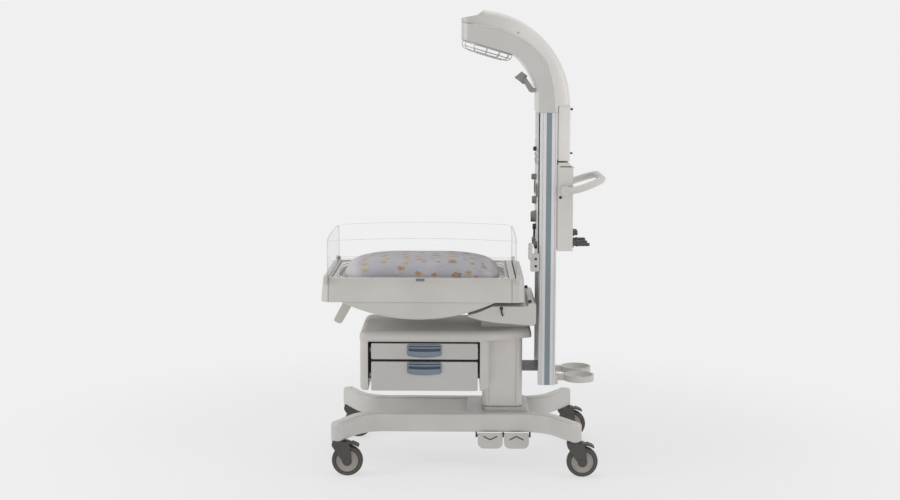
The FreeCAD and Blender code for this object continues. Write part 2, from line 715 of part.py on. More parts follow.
# Examination light on a lug of the shell
lightReach = 29.0
lightRise = 86.0
lightX = mastX0 - lightReach
lightZ = mastTop + lightRise
lightPinR = 4.0
lugEnd = rod(9.0, (lightX, -7, lightZ), (lightX, 7, lightZ))
lug = fuse(box(lightX, mastX0 + 10, -7, 7, lightZ - 9, lightZ + 9), lugEnd)
nodes["hood_shell"] = fuse(hood, lug, rod(lightPinR, (lightX, -14, lightZ), (lightX, 14, lightZ)))
cheeks = []
for hand in (-1, 1):
    y0, y1 = sorted((hand * (7 + gap), hand * 13))
    side = [(-9, -6, 7), (5, -9, 8), (9, 8, 8), (-25, 56), (-41, 47)]
    cheeks.append(prism(side, "xz", y0, y1))
neck = prism([(-21, 20), (-9, 30), (-25, 56), (-41, 47)], "xz", -13, 13)
lampTailR = 15.0
lampFaceR = 24.0
lampLong = 36.0
lamp = Part.makeCone(lampTailR, lampFaceR, lampLong, V(-29, 0, 68), V(-0.6, 0, -0.8))
light = shift(fuse(lamp, neck, *cheeks), lightX, 0, lightZ)
nodes["exam_light"] = light.cut(rod(lightPinR + runGap, (lightX, -20, lightZ), (lightX, 20, lightZ)))

# Bed arm: a wide bracket below the tray on a neck, with the tilt hinge
armX0 = tiltX - 145
armX1 = tiltX + 130
armLine = [(armX0, tiltZ - 46, 2), (armX0 + 45, tiltZ - 59, 60), (armX0 + 105, tiltZ - 69, 120),
           (armX1 - 8, tiltZ - 82, 6), (armX1, tiltZ - 70, 6), (armX1, tiltZ + 10, 8), (armX1 - 32, tiltZ + 10, 6),
           (armX1 - 32, armTop, 8), (armX0 + 100, armTop, 30), (armX0 + 45, tiltZ - 27, 60), (armX0, tiltZ - 40, 2)]
arm = prism(armLine, "xz", -armHalf, armHalf)
neck = box(armX0 + 55, armX1 - 30, -sleeveHalf, sleeveHalf, coverTop, tiltZ - 62)
hinge = [neck]
for side in (-1, 1):
    y0, y1 = sorted((side * 51, side * 71))
    arm = arm.cut(box(tiltX - tiltLugR - 2, tiltX + tiltLugR + 2, y0, y1, tiltZ - tiltLugR - 2, armTop + 1))
    y0, y1 = sorted((side * 30, side * 50))
    hinge.append(box(tiltX - tiltLugR, tiltX + tiltLugR, y0, y1, armTop - 6, tiltZ))
    hinge.append(rod(tiltLugR, (tiltX, y0, tiltZ), (tiltX, y1, tiltZ)))
hinge.append(rod(tiltPinR, (tiltX, -72, tiltZ), (tiltX, 72, tiltZ)))
nodes["bed_arm"] = fuse(arm, *hinge)

# Bed tray: drafted walls, the mattress well, panel lugs and the tilt lugs
low = outline(rect(trayX0, trayX1, -trayHalfLow, trayHalfLow, 40), "xy", trayBottom)
high = outline(rect(trayX0 + 6, trayX1 - 4, -trayHalfRim, trayHalfRim, 36), "xy", rimZ)
tray = Part.makeLoft([low, high], True, True)
tray = soften(tray, 5.0, lambda b: b.ZLength < 0.01 and b.ZMin > rimZ - 1)
tray = tray.cut(prism(rect(bedX0, bedX1, -bedHalf, bedHalf, 30), "xy", floorZ, rimZ + 5))
slotZ = rimZ - slotDepth
headSlot = box(headPanelX - panelThick / 2, headPanelX + panelThick / 2, -headHalf, headHalf, slotZ, rimZ + 5)
lugTop = beadZ + 8.5
adds = []
cuts = [headSlot]
for side in (-1, 1):
    inner, outer = side * (trayHalfRim - 6), side * (sideBeadY + 8)
    wall = [(inner, rimZ - 18), (inner, rimZ), (side * (sideBeadY - 7), lugTop, 5), (outer, lugTop, 6),
            (outer, rimZ - 4, 6), (side * (trayHalfRim + 4), rimZ - 26)]
    adds.append(prism(wall, "yz", sidePanelX0 - lugWidth, sidePanelX0 - gap))
    adds.append(prism(wall, "yz", sidePanelX1 + gap, sidePanelX1 + lugWidth))
    y0, y1 = sorted((side * footHalf, side * (footHalf + 11)))
    adds.append(prism(rect(footBeadX - 8, footBeadX + 8, rimZ - 8, lugTop, 5), "xz", y0, y1))
    y = side * sideBeadY
    reach = pinReach + pinEnd
    cuts.append(rod(pinR + runGap, (sidePanelX0 - reach, y, beadZ), (sidePanelX1 + reach, y, beadZ)))
    y0, y1 = side * (footHalf - 1), side * (footHalf + reach)
    cuts.append(rod(pinR + runGap, (footBeadX, y0, beadZ), (footBeadX, y1, beadZ)))
    low, high = trayBottom - 1, rimZ + 1
    scribe = [(side * (trayHalfLow + 5), low), (side * (trayHalfLow - 3), low), (side * (trayHalfRim - 3), high),
              (side * (trayHalfRim + 5), high)]
    for x in (trayX0 + 31.5, trayX1 - 52):
        cuts.append(prism(scribe, "yz", x - 1, x + 1))
    y0, y1 = sorted((side * 52, side * 70))
    adds.append(box(tiltX - tiltLugR, tiltX + tiltLugR, y0, y1, tiltZ, trayBottom + 1))
    adds.append(rod(tiltLugR, (tiltX, y0, tiltZ), (tiltX, y1, tiltZ)))
cuts.append(rod(tiltPinR + runGap, (tiltX, -80, tiltZ), (tiltX, 80, tiltZ)))
hollowHalf = trayHalfLow - 28
cuts.append(box(trayX0 + 87.5, tiltX - 42, -hollowHalf, hollowHalf, trayBottom - 1, floorZ - 8))
tray = fuse(tray, *adds)
for tool in cuts:
    tray = tray.cut(tool)
nodes["bed_tray"] = tray

# Under-pan: a shallow arched hull with lugs for the tilt handle
panBow = 70.0
panHalfLong = 308.5
panX = tiltX - 35 - panHalfLong
panHalf = trayHalfLow - 2
panWall = 5.0
bowR = (panHalfLong ** 2 + panBow ** 2) / (2 * panBow)
drum = rod(bowR, (panX, -panHalf, trayBottom - panBow + bowR), (panX, panHalf, trayBottom - panBow + bowR))
hollow = rod(bowR - panWall, (panX, -panHalf + panWall, trayBottom - panBow + bowR),
             (panX, panHalf - panWall, trayBottom - panBow + bowR))
keep = box(panX - bowR, panX + bowR, -panHalf - 1, panHalf + 1, trayBottom - 2 * panBow, trayBottom)
pan = drum.common(keep)
pan = soften(pan, 8.0, lambda b: b.YLength < 0.01 and b.ZLength > 10)
pan = pan.cut(hollow)
gripX = panX - panHalfLong + 24
gripDrop = 30.0
gripZ = trayBottom - gripDrop
gripPinR = 4.0
ears = []
for side in (-1, 1):
    y0, y1 = sorted((side * 40, side * 52))
    ears.append(box(gripX - 10, gripX + 10, y0, y1, gripZ, trayBottom))
    ears.append(rod(10.0, (gripX, y0, gripZ), (gripX, y1, gripZ)))
pan = fuse(pan, *ears)
nodes["bed_underpan"] = pan.cut(rod(gripPinR + runGap, (gripX, -60, gripZ), (gripX, 60, gripZ)))
gripLine = [(8, -6), (-6, 8), (-34, -14, 16), (-75, -90, 9), (-44, -106, 12), (-2, -34, 18)]
grip = prism(gripLine, "xz", -39, 39)
nodes["tilt_handle"] = fuse(shift(grip, gripX, 0, gripZ), rod(9.0, (gripX, -40 + gap, gripZ), (gripX, 40 - gap, gripZ)),
                            rod(gripPinR, (gripX, -52, gripZ), (gripX, 52, gripZ)))

# Clear panels: a plate on a round bead with end pins
sideLine = [(sidePanelX0, beadZ), (sidePanelX1, beadZ), (sidePanelX1, panelTop - 6, 22),
            ((sidePanelX0 + sidePanelX1) / 2, panelTop + 10, 6000), (sidePanelX0, panelTop - 6, 22)]
half = panelThick / 2
plate = prism(sideLine, "xz", -sideBeadY - half, -sideBeadY + half)
bead = rod(beadR, (sidePanelX0, -sideBeadY, beadZ), (sidePanelX1, -sideBeadY, beadZ))
pin = rod(pinR, (sidePanelX0 - pinReach, -sideBeadY, beadZ), (sidePanelX1 + pinReach, -sideBeadY, beadZ))
panel = fuse(plate, bead, pin)
nodes["panel_near"] = panel
nodes["panel_far"] = mirrorY(panel)
endLine = [(-headHalf, beadZ), (headHalf, beadZ), (headHalf, panelTop - 6, 22), (0, panelTop + 6, 4000),
           (-headHalf, panelTop - 6, 22)]
plate = prism(endLine, "yz", footBeadX - half, footBeadX + half)
bead = rod(beadR, (footBeadX, -footHalf + gap, beadZ), (footBeadX, footHalf - gap, beadZ))
reach = footHalf + pinReach
nodes["panel_foot"] = fuse(plate, bead, rod(pinR, (footBeadX, -reach, beadZ), (footBeadX, reach, beadZ)))
headLine = [(-headHalf, slotZ), (headHalf, slotZ)] + endLine[2:]
nodes["panel_head"] = prism(headLine, "yz", headPanelX - half, headPanelX + half)

# Mattress: a cushion with full sides and a low crown
padX = (bedX0 + bedX1) / 2 + 3
padLong = (bedX1 - bedX0) / 2 - 17
padHalf = bedHalf - 6
padCorner = 150.0
padThick = 76.0
padCrown = 13.0


def padRing(height, inLong, inWide, inCorner):
    a, b, r = padLong - inLong, padHalf - inWide, padCorner - inCorner
    return outline(rect(padX - a, padX + a, -b, b, r), "xy", floorZ + height)


stack = [padRing(0, 15, 14, 12), padRing(8, 4, 4, 4), padRing(padThick / 3, 0, 0, 0),
         padRing(padThick * 0.62, 6, 6, 4), padRing(padThick * 0.86, 22, 20, 14), padRing(padThick, 46, 42, 30)]
crown = [padRing(padThick, 46, 42, 30), padRing(padThick + padCrown * 0.67, 88, 82, 60),
         padRing(padThick + padCrown, 160, 140, 90)]
nodes["mattress"] = fuse(Part.makeLoft(stack, True, False), Part.makeLoft(crown, True, True))

for name, shape in nodes.items():
    shape.exportStep("parts/" + name + ".step")
    b = shape.BoundBox
    print(name, len(shape.Solids), shape.isValid(), round(shape.Volume / 1000), [round(v, 1) for v in
          (b.XMin, b.XMax, b.YMin, b.YMax, b.ZMin, b.ZMax)])
print(len(nodes))
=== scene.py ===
import math
from functools import partial
import bmesh
import bpy
import numpy as np
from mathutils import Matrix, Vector


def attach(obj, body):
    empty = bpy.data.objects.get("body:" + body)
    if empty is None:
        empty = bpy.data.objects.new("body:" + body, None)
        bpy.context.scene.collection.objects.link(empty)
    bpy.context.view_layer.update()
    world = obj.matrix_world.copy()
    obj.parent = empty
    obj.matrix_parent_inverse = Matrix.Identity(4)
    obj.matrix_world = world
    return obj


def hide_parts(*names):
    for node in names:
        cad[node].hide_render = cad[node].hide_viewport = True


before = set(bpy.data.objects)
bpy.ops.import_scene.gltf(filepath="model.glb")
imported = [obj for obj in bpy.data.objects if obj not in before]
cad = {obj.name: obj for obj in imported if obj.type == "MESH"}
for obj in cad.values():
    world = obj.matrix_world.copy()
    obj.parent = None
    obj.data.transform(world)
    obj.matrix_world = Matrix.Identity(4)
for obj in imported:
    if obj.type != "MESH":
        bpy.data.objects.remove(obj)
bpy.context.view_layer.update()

scene = bpy.context.scene
scene.view_settings.view_transform = "Standard"
print("frame loaded:", len(cad), "nodes")


# shader helpers

def srgb(r, g, b):  # 0-255 picture values to the linear colour a socket takes
    c = np.array([r, g, b], float) / 255.0
    lin = np.where(c <= 0.04045, c / 12.92, ((c + 0.055) / 1.055) ** 2.4)
    return (*lin.tolist(), 1.0)


def fill(tree, node, sockets):  # a plain value is set on its socket, another node's output is wired to it
    for key, value in sockets.items():
        if isinstance(value, bpy.types.NodeSocket):
            tree.links.new(value, node.inputs[key])
        else:
            node.inputs[key].default_value = value


def addNode(tree, kind, sockets=None, **settings):
    node = tree.nodes.new("ShaderNode" + kind)
    for key, value in settings.items():
        setattr(node, key, value)
    fill(tree, node, sockets or {})
    return node


def newGroup(name, inputs, outputs):
    group = bpy.data.node_groups.new(name, "ShaderNodeTree")
    for label, value in inputs.items():
        socket = group.interface.new_socket(name=label, in_out="INPUT", socket_type="NodeSocketFloat")
        socket.default_value = value
    for label, kind in outputs.items():
        group.interface.new_socket(name=label, in_out="OUTPUT", socket_type="NodeSocket" + kind)
    return group, group.nodes.new("NodeGroupInput").outputs, group.nodes.new("NodeGroupOutput")


def newMaterial(name):
    material = bpy.data.materials.new(name)
    material.use_nodes = True
    tree = material.node_tree
    return tree, tree.nodes["Principled BSDF"], partial(mathNode, tree)


def mathNode(tree, operation, a, b=None, clamp=False):
    sockets = {0: a} if b is None else {0: a, 1: b}
    return addNode(tree, "Math", sockets, operation=operation, use_clamp=clamp).outputs[0]


def mixColour(tree, factor, a, b):
    return addNode(tree, "Mix", {0: factor, 6: a, 7: b}, data_type="RGBA").outputs[2]


def ramp(tree, source, stops):
    node = addNode(tree, "ValToRGB", {0: source})
    elements = node.color_ramp.elements
    while len(elements) < len(stops):
        elements.new(0.5)
    for element, (place, colour) in zip(elements, stops):
        element.position = place
        element.color = colour
    return node.outputs[0]


def noise(tree, vector, scale, detail=3.0, rough=0.55):
    sockets = {"Vector": vector, "Scale": scale, "Detail": detail, "Roughness": rough}
    return addNode(tree, "TexNoise", sockets).outputs["Fac"]


def objectPlace(tree):
    return addNode(tree, "TexCoord").outputs["Object"]


def splitAxes(tree, vector):
    return addNode(tree, "SeparateXYZ", {0: vector}).outputs


def buildGrain():  # moulded surface: fine spark texture, slow tone drift, faint scuffs
    group, given, result = newGroup("mouldedGrain", {"Grain": 900.0, "Drift": 5.0},
                                    {"Height": "Float", "Tone": "Float", "Rough": "Float"})
    coords = objectPlace(group)
    spark = addNode(group, "TexNoise", {"Vector": coords, "Scale": given["Grain"], "Detail": 2.0})
    drift = addNode(group, "TexNoise", {"Vector": coords, "Scale": given["Drift"], "Detail": 4.0})
    scuff = addNode(group, "TexNoise", {"Vector": coords, "Scale": 38.0, "Detail": 6.0, "Distortion": 1.2})
    fill(group, result, {"Height": spark.outputs["Fac"], "Tone": drift.outputs["Fac"],
                         "Rough": mathNode(group, "MULTIPLY", scuff.outputs["Fac"], 0.22)})
    return group


def buildEdge():  # rounded-edge normal, a mask along every edge (Rim) and the same broken up by noise (EdgeWearHighlight: edge wear, and on the pale shells a painted edge highlight)
    group, given, result = newGroup("edgeRound", {"Radius": 0.002},
                                    {"Normal": "Vector", "EdgeWearHighlight": "Float", "Rim": "Float"})
    rounded = addNode(group, "Bevel", {"Radius": given["Radius"]}, samples=4).outputs["Normal"]
    plain = addNode(group, "NewGeometry").outputs["Normal"]
    same = addNode(group, "VectorMath", {0: rounded, 1: plain}, operation="DOT_PRODUCT").outputs["Value"]
    rim = mathNode(group, "MULTIPLY", mathNode(group, "SUBTRACT", 1.0, same), 3.0, True)
    wearAndHighlight = mathNode(group, "MULTIPLY", rim, noise(group, objectPlace(group), 24.0, 5.0), True)
    fill(group, result, {"Normal": rounded, "EdgeWearHighlight": wearAndHighlight, "Rim": rim})
    return group


grainGroup = buildGrain()
edgeGroup = buildEdge()


def coated(name, finish):
    # colour = base tint, drifted a little by Tone, lightened where EdgeWearHighlight is 1 (edge wear, and on the pale
    # shells a painted highlight along the edges); bump = grain on rounded edges
    tree, shader, calc = newMaterial(name)
    grain = addNode(tree, "Group", node_tree=grainGroup)
    fill(tree, grain, {"Grain": finish.get("grain", 900.0), "Drift": finish.get("drift", 5.0)})
    edge = addNode(tree, "Group", node_tree=edgeGroup)
    fill(tree, edge, {"Radius": finish.get("edge", 0.002)})
    base = srgb(*finish["colour"])
    spread = finish.get("spread", 0.05)
    dark = tuple(c * (1 - spread) for c in base[:3]) + (1.0,)
    pale = tuple(min(1.0, c * (1 + spread)) for c in base[:3]) + (1.0,)
    tone = ramp(tree, grain.outputs["Tone"], [(0.3, dark), (0.7, pale)])
    if "fade" in finish:  # a second colour that takes over along X; on the hood cover it is painted shade, darker towards the front
        start, end, tint = finish["fade"]
        along = splitAxes(tree, objectPlace(tree))["X"]
        share = calc("DIVIDE", calc("SUBTRACT", along, start), end - start, True)
        tone = mixColour(tree, share, tone, srgb(*tint))
    wearAndHighlight = srgb(*finish.get("wearAndHighlight", finish["colour"]))
    wearAndHighlightShare = calc("MULTIPLY", edge.outputs["EdgeWearHighlight"], finish.get("wearAndHighlightShare", 0.35))
    bump = addNode(tree, "Bump", {"Strength": finish.get("bump", 0.08), "Distance": 0.001,
                                  "Height": grain.outputs["Height"], "Normal": edge.outputs["Normal"]})
    fill(tree, shader, {"Base Color": mixColour(tree, wearAndHighlightShare, tone, wearAndHighlight),
                        "Roughness": calc("ADD", grain.outputs["Rough"], finish["rough"] - 0.11),
                        "Normal": bump.outputs["Normal"], "Metallic": finish.get("metal", 0.0),
                        "Coat Weight": finish.get("coat", 0.0), "Coat Roughness": 0.25})


def clearSheet(name, face):
    # clear on the broad faces (object normal along the face axis), frosted on the cut edges, glossy when seen aslant
    tree, shader, calc = newMaterial(name)
    coords = addNode(tree, "TexCoord").outputs
    facing = splitAxes(tree, coords["Normal"])
    edge = addNode(tree, "Group", node_tree=edgeGroup)
    fill(tree, edge, {"Radius": 0.003})
    rounded = splitAxes(tree, edge.outputs["Normal"])
    aslant = addNode(tree, "Fresnel", {"IOR": 1.12}).outputs[0]
    cut = calc("SUBTRACT", 1.0, calc("ABSOLUTE", facing[face]), True)
    upward = calc("ADD", 0.22, calc("MULTIPLY", calc("ABSOLUTE", facing["Z"]), 0.3))
    level = calc("ADD", 0.32, calc("ABSOLUTE", rounded["Z"]), True)  # level edges catch more light than upright ones
    rim = calc("MULTIPLY", edge.outputs["Rim"], calc("MULTIPLY", level, 0.8))
    lines = calc("MAXIMUM", calc("MULTIPLY", cut, upward), rim)
    body = calc("ADD", lines, calc("MULTIPLY", aslant, 0.16))
    scratch = noise(tree, coords["Object"], 60.0, 6.0)
    fill(tree, shader, {"Base Color": srgb(158, 161, 163), "Roughness": calc("MULTIPLY", scratch, 0.25)})
    mix = addNode(tree, "MixShader", {0: calc("ADD", body, 0.004, True), 2: shader.outputs[0],
                                      1: addNode(tree, "BsdfTransparent").outputs[0]})
    fill(tree, tree.nodes["Material Output"], {"Surface": mix.outputs[0]})


# the pale shells' much lighter edge colour is partly edge wear and partly a painted highlight along rounded edges and
# seams
shell = {"colour": (198, 195, 190), "rough": 0.44, "bump": 0.07, "edge": 0.003, "wearAndHighlight": (224, 222, 218), "wearAndHighlightShare": 0.5}
rearShell = dict(shell, colour=(226, 223, 220), rough=0.46, wearAndHighlight=(236, 234, 232))
finishes = {
    "shellPlastic": shell,
    "hoodPlastic": dict(shell, colour=(191, 189, 185), edge=0.006, rough=0.34, coat=0.4),
    # painted shade: the hood cover turns darker towards its front, from X 0.26 down to 0
    "coverPlasticShadedFront": dict(shell, colour=(222, 219, 215), edge=0.004, rough=0.36, coat=0.2,
                         fade=(0.26, 0.0, (184, 182, 176))),
    "rearPlastic": rearShell,
    "drawerPlastic": dict(shell, colour=(188, 186, 183)),
    "boxPlastic": dict(shell, colour=(209, 206, 201)),
    "lampPlastic": dict(shell, colour=(166, 161, 155), edge=0.0015),
    "sleevePaint": dict(rearShell, colour=(219, 216, 212)),
    "bodyPaint": {"colour": (200, 197, 193), "rough": 0.36, "grain": 420.0, "bump": 0.05, "edge": 0.003, "coat": 0.15,
                  "wearAndHighlight": (190, 190, 190), "wearAndHighlightShare": 0.3},
    "mastAlloy": {"colour": (205, 204, 204), "rough": 0.34, "grain": 700.0, "bump": 0.04, "edge": 0.0015,
                  "metal": 0.25, "wearAndHighlight": (222, 222, 222)},
    "casterPlastic": {"colour": (71, 70, 68), "rough": 0.52, "grain": 700.0, "bump": 0.12, "spread": 0.12,
                      "edge": 0.0025, "wearAndHighlight": (104, 102, 99), "wearAndHighlightShare": 0.7},
    "darkSteel": {"colour": (52, 51, 50), "rough": 0.5, "spread": 0.12, "edge": 0.0015, "wearAndHighlight": (92, 90, 88),
                  "wearAndHighlightShare": 0.6},
    "greyBracket": {"colour": (122, 120, 117), "rough": 0.48, "spread": 0.08, "edge": 0.002, "wearAndHighlight": (160, 158, 155)},
    "bluePlastic": {"colour": (122, 137, 145), "rough": 0.42, "grain": 800.0, "bump": 0.06, "edge": 0.002,
                    "wearAndHighlight": (156, 169, 177)},
    "pedalPlastic": {"colour": (196, 192, 188), "rough": 0.55, "grain": 500.0, "bump": 0.14, "edge": 0.003,
                     "wearAndHighlight": (172, 168, 164), "wearAndHighlightShare": 0.6},
    "knobPlastic": {"colour": (120, 117, 113), "rough": 0.5, "grain": 800.0, "bump": 0.12, "edge": 0.0015,
                    "wearAndHighlight": (172, 168, 164)},
    "liftTube": {"colour": (170, 171, 172), "rough": 0.3, "metal": 0.85, "grain": 300.0, "bump": 0.05, "edge": 0.001},
    "handleGrip": {"colour": (205, 202, 198), "rough": 0.5, "grain": 600.0, "bump": 0.12, "wearAndHighlight": (186, 183, 180)},
    "blackRubberAndShade": {"colour": (34, 33, 33), "rough": 0.42, "spread": 0.1, "edge": 0.0008, "bump": 0.04},
}
for name, finish in finishes.items():
    coated(name, finish)
clearSheet("clearSide", "Y")
clearSheet("clearEnd", "X")


def dress(material, *names):
    for name in names:
        slots = cad[name].data.materials
        slots.clear()
        slots.append(bpy.data.materials[material])


dress("bodyPaint", "base_leg_near", "base_leg_far", "base_crossmember", "bed_arm", "cylinder_holder", "lift_post",
      "mattress")
dress("liftTube", "column_stage", "lift_motor")
dress("pedalPlastic", "pedal_down", "pedal_up")
dress("darkSteel", "pedal_bracket", "drawer_rails")
dress("greyBracket", "mast_link")
dress("shellPlastic", "top_cover", "cabinet_shell", "control_fascia", "mast_back_panel", "bed_tray", "bed_underpan",
      "tilt_handle", "hose_bracket")
dress("hoodPlastic", "hood_shell")
dress("coverPlasticShadedFront", "hood_cover", "rear_housing_upper")
dress("boxPlastic", "rear_housing_lower")
dress("sleevePaint", "column_sleeve")
dress("drawerPlastic", "drawer_upper", "drawer_lower")
dress("lampPlastic", "exam_light")
dress("bluePlastic", "rail_inserts", "pull_upper", "pull_lower")
dress("mastAlloy", "mast_rail_near", "mast_rail_far", "heater_guard", "gas_inlets")
dress("knobPlastic", "knob_oxygen", "knob_flow", "knob_suction")
dress("handleGrip", "push_handle")
dress("clearSide", "panel_near", "panel_far")
dress("clearEnd", "panel_foot", "panel_head")
casterEnds = ("foot_near", "foot_far", "head_near", "head_far")
for end in casterEnds:
    dress("casterPlastic", "caster_fork_" + end, "caster_brake_" + end, "caster_wheel_" + end)
print("materials on the CAD nodes")


# mesh helpers: each shape is (points, faces)

def gridFaces(rows, cols, wrapRows=False, wrapCols=False):
    # one four-sided face for each cell of a grid of points, joined round where it wraps
    i, j = np.meshgrid(np.arange(rows if wrapRows else rows - 1), np.arange(cols if wrapCols else cols - 1),
                       indexing="ij")
    down, over = (i + 1) % rows, (j + 1) % cols
    return np.stack([i * cols + j, i * cols + over, down * cols + over, down * cols + j], -1).reshape(-1, 4)


def unit(v):
    v = np.asarray(v, float)
    return v / np.linalg.norm(v)


def axisFrame(axis):  # two directions square to the axis, and the axis itself
    a = unit(axis)
    u = unit(np.cross((0, 0, 1) if abs(a[2]) < 0.9 else (1, 0, 0), a))
    return u, np.cross(a, u), a


def lathe(profile, place, axis, turns=48, flute=None):
    # each profile point (radius, height) carried round the axis; flute = (count, share, weights) ripples the radius
    r, h = np.array(profile, float).T
    t = np.linspace(0, 2 * np.pi, turns, endpoint=False)
    u, v, a = axisFrame(axis)
    ring = np.cos(t)[:, None] * u + np.sin(t)[:, None] * v
    swell = np.ones((turns, len(r)))
    if flute:
        count, share, weights = flute
        swell -= share * (0.5 + 0.5 * np.cos(count * t))[:, None] * np.array(weights)[None, :]
    points = np.asarray(place, float) + (r * swell)[..., None] * ring[:, None, :] + h[None, :, None] * a
    return points.reshape(-1, 3), gridFaces(turns, len(r), wrapRows=True)


def sweep(path, radius, sides=12, closed=False):
    # a circle carried along the path on a frame that turns as little as it can; open ends shrink to a point
    path = np.asarray(path, float)
    ahead = np.roll(path, -1, 0) - path
    behind = path - np.roll(path, 1, 0)
    if not closed:
        ahead[-1], behind[0] = behind[-1], ahead[0]
    tangents = np.array([unit(unit(a) + unit(b)) for a, b in zip(ahead, behind)])
    side = axisFrame(tangents[0])[0]
    t = np.linspace(0, 2 * np.pi, sides, endpoint=False)
    rings = []
    for point, tangent in zip(path, tangents):
        side = unit(side - tangent * np.dot(side, tangent))
        other = np.cross(tangent, side)
        rings.append(point + radius * (np.cos(t)[:, None] * side + np.sin(t)[:, None] * other))
    if not closed:
        rings = [np.repeat(path[:1], sides, 0)] + rings + [np.repeat(path[-1:], sides, 0)]
    return np.vstack(rings), gridFaces(len(rings), sides, closed, True)


def roundRect(width, height, radius, steps=6):  # four quarter circles, one at each corner, taken in turn
    corners = []
    for k, (sx, sy) in enumerate(((1, 1), (-1, 1), (-1, -1), (1, -1))):
        t = np.linspace(k * np.pi / 2, (k + 1) * np.pi / 2, steps)
        corners.append(np.stack([sx * (width / 2 - radius) + radius * np.cos(t),
                                 sy * (height / 2 - radius) + radius * np.sin(t)], -1))
    return np.vstack(corners)


def slab(line, place, u, v, height, edge, steps=4):
    # outline rings: wall, then a quarter-round edge drawn in to a flat top; it rises along u x v
    line = np.asarray(line, float)
    u, v = unit(u), unit(v)
    w = np.cross(u, v)
    along = np.roll(line, -1, 0) - np.roll(line, 1, 0)
    normal = np.stack([along[:, 1], -along[:, 0]], -1) / np.linalg.norm(along, axis=1)[:, None]
    t = np.linspace(0, np.pi / 2, steps)
    rings = [(0.0, 0.0)] + [(edge * (1 - math.cos(k)), height - edge + edge * math.sin(k)) for k in t]
    points = []
    for inset, lift in rings:
        flat = line - normal * inset
        points.append(np.asarray(place, float) + flat[:, :1] * u + flat[:, 1:] * v + lift * w)
    count = len(line)
    faces = [list(f) for f in gridFaces(len(rings), count, wrapCols=True)]
    faces.append(list(range((len(rings) - 1) * count, len(rings) * count)))
    faces.append(list(range(count))[::-1])
    return np.vstack(points), faces


def stud(place, axis, r, length, soft=0.3):  # a short pin with a softened end
    return lathe([(0, 0), (r, 0), (r, length - r * soft), (r * (1 - soft * 0.4), length - r * soft * 0.3),
                  (r * (1 - soft), length), (0, length)], place, axis, 32)


def strip(low, high):  # a plain bar between two corners
    (x0, y0, z0), (x1, y1, z1) = low, high
    line = [(x1 - x0, 0), (x1 - x0, y1 - y0), (0, y1 - y0), (0, 0)]
    return slab(line, low, rear, far, z1 - z0, 0.0002)


def weld(mesh):  # points that meet become one, slivers go, all faces look outwards
    work = bmesh.new()
    work.from_mesh(mesh)
    bmesh.ops.remove_doubles(work, verts=work.verts, dist=1e-6)
    bmesh.ops.dissolve_degenerate(work, dist=1e-7, edges=work.edges)
    bmesh.ops.recalc_face_normals(work, faces=work.faces)
    work.to_mesh(mesh)
    work.free()


def addPiece(name, body, parts, materials, sharp=40):
    # shapes joined in one welded mesh; a third value in a part is its material number, or one per face
    points, faces, numbers, start = [], [], [], 0
    for pts, loops, *number in parts:
        points.append(np.asarray(pts, float))
        faces += [[int(k) + start for k in loop] for loop in loops]
        numbers += list(np.broadcast_to(number[0] if number else 0, len(loops)))
        start += len(pts)
    mesh = bpy.data.meshes.new(name)
    mesh.from_pydata(np.vstack(points).tolist(), [], faces)
    for material in materials:
        mesh.materials.append(bpy.data.materials[material])
    mesh.polygons.foreach_set("material_index", np.array(numbers, np.int32))
    weld(mesh)
    mesh.shade_smooth()
    mesh.set_sharp_from_angle(angle=math.radians(sharp))
    piece = bpy.data.objects.new(name, mesh)
    scene.collection.objects.link(piece)
    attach(piece, body)
    return piece


near, far, front, rear, up = (0, -1, 0), (0, 1, 0), (-1, 0, 0), (1, 0, 0), (0, 0, 1)


# wheels: tyre, a thin lighter line and dished hub turned in one profile

wheel = {"centre": {"foot_near": (-0.4655, -0.3), "foot_far": (-0.4655, 0.3), "head_near": (0.4745, -0.3),
                    "head_far": (0.4745, 0.3)}, "radius": 0.0625, "hubTo": 0.0435, "lineAt": (0.051, 0.0532),
         "half": [(7.2, 14), (15, 14), (17.5, 12.6), (19, 10.6), (30, 9.4), (39, 10.6), (42.5, 13.2), (44, 15.3),
                  (45.5, 15.9), (50.6, 15.9), (51.3, 15.2), (52.7, 15.2), (53.4, 15.8), (56.5, 15.1), (59.6, 12.6),
                  (61.6, 8.8), (62.4, 4.4), (62.5, 0)], "turns": 96}
coated("tyreRubber", {"colour": (64, 62, 60), "rough": 0.62, "grain": 600.0, "bump": 0.1, "spread": 0.15,
                      "edge": 0.001})
coated("tyreLine", {"colour": (112, 109, 105), "rough": 0.55, "spread": 0.1, "edge": 0.001})
coated("hubPlastic", {"colour": (166, 161, 152), "rough": 0.45, "spread": 0.08, "edge": 0.001, "bump": 0.05})
halfLine = np.array(wheel["half"]) / 1000
wheelLine = np.vstack([halfLine, (halfLine * (1, -1))[-2::-1]])
middleR = (wheelLine[1:, 0] + wheelLine[:-1, 0]) / 2
onLine = (middleR > wheel["lineAt"][0]) & (middleR < wheel["lineAt"][1])
wheelKind = np.tile(np.where(middleR < wheel["hubTo"], 2, np.where(onLine, 1, 0)), wheel["turns"])
for end in casterEnds:
    place = (*wheel["centre"][end], wheel["radius"])
    tread = lathe(wheelLine, place, far, wheel["turns"]) + (wheelKind,)
    bore = lathe([wheelLine[0], wheelLine[-1]], place, far, wheel["turns"]) + (2,)
    tyre = addPiece("wheel_" + end, "caster_wheel_" + end, [tread, bore],
                    ["tyreRubber", "tyreLine", "hubPlastic"])
    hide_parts("caster_wheel_" + end)
print("wheels turned")


# heater guard: rim, hoops and spokes of bent wire over the bright dish and its sheathed element

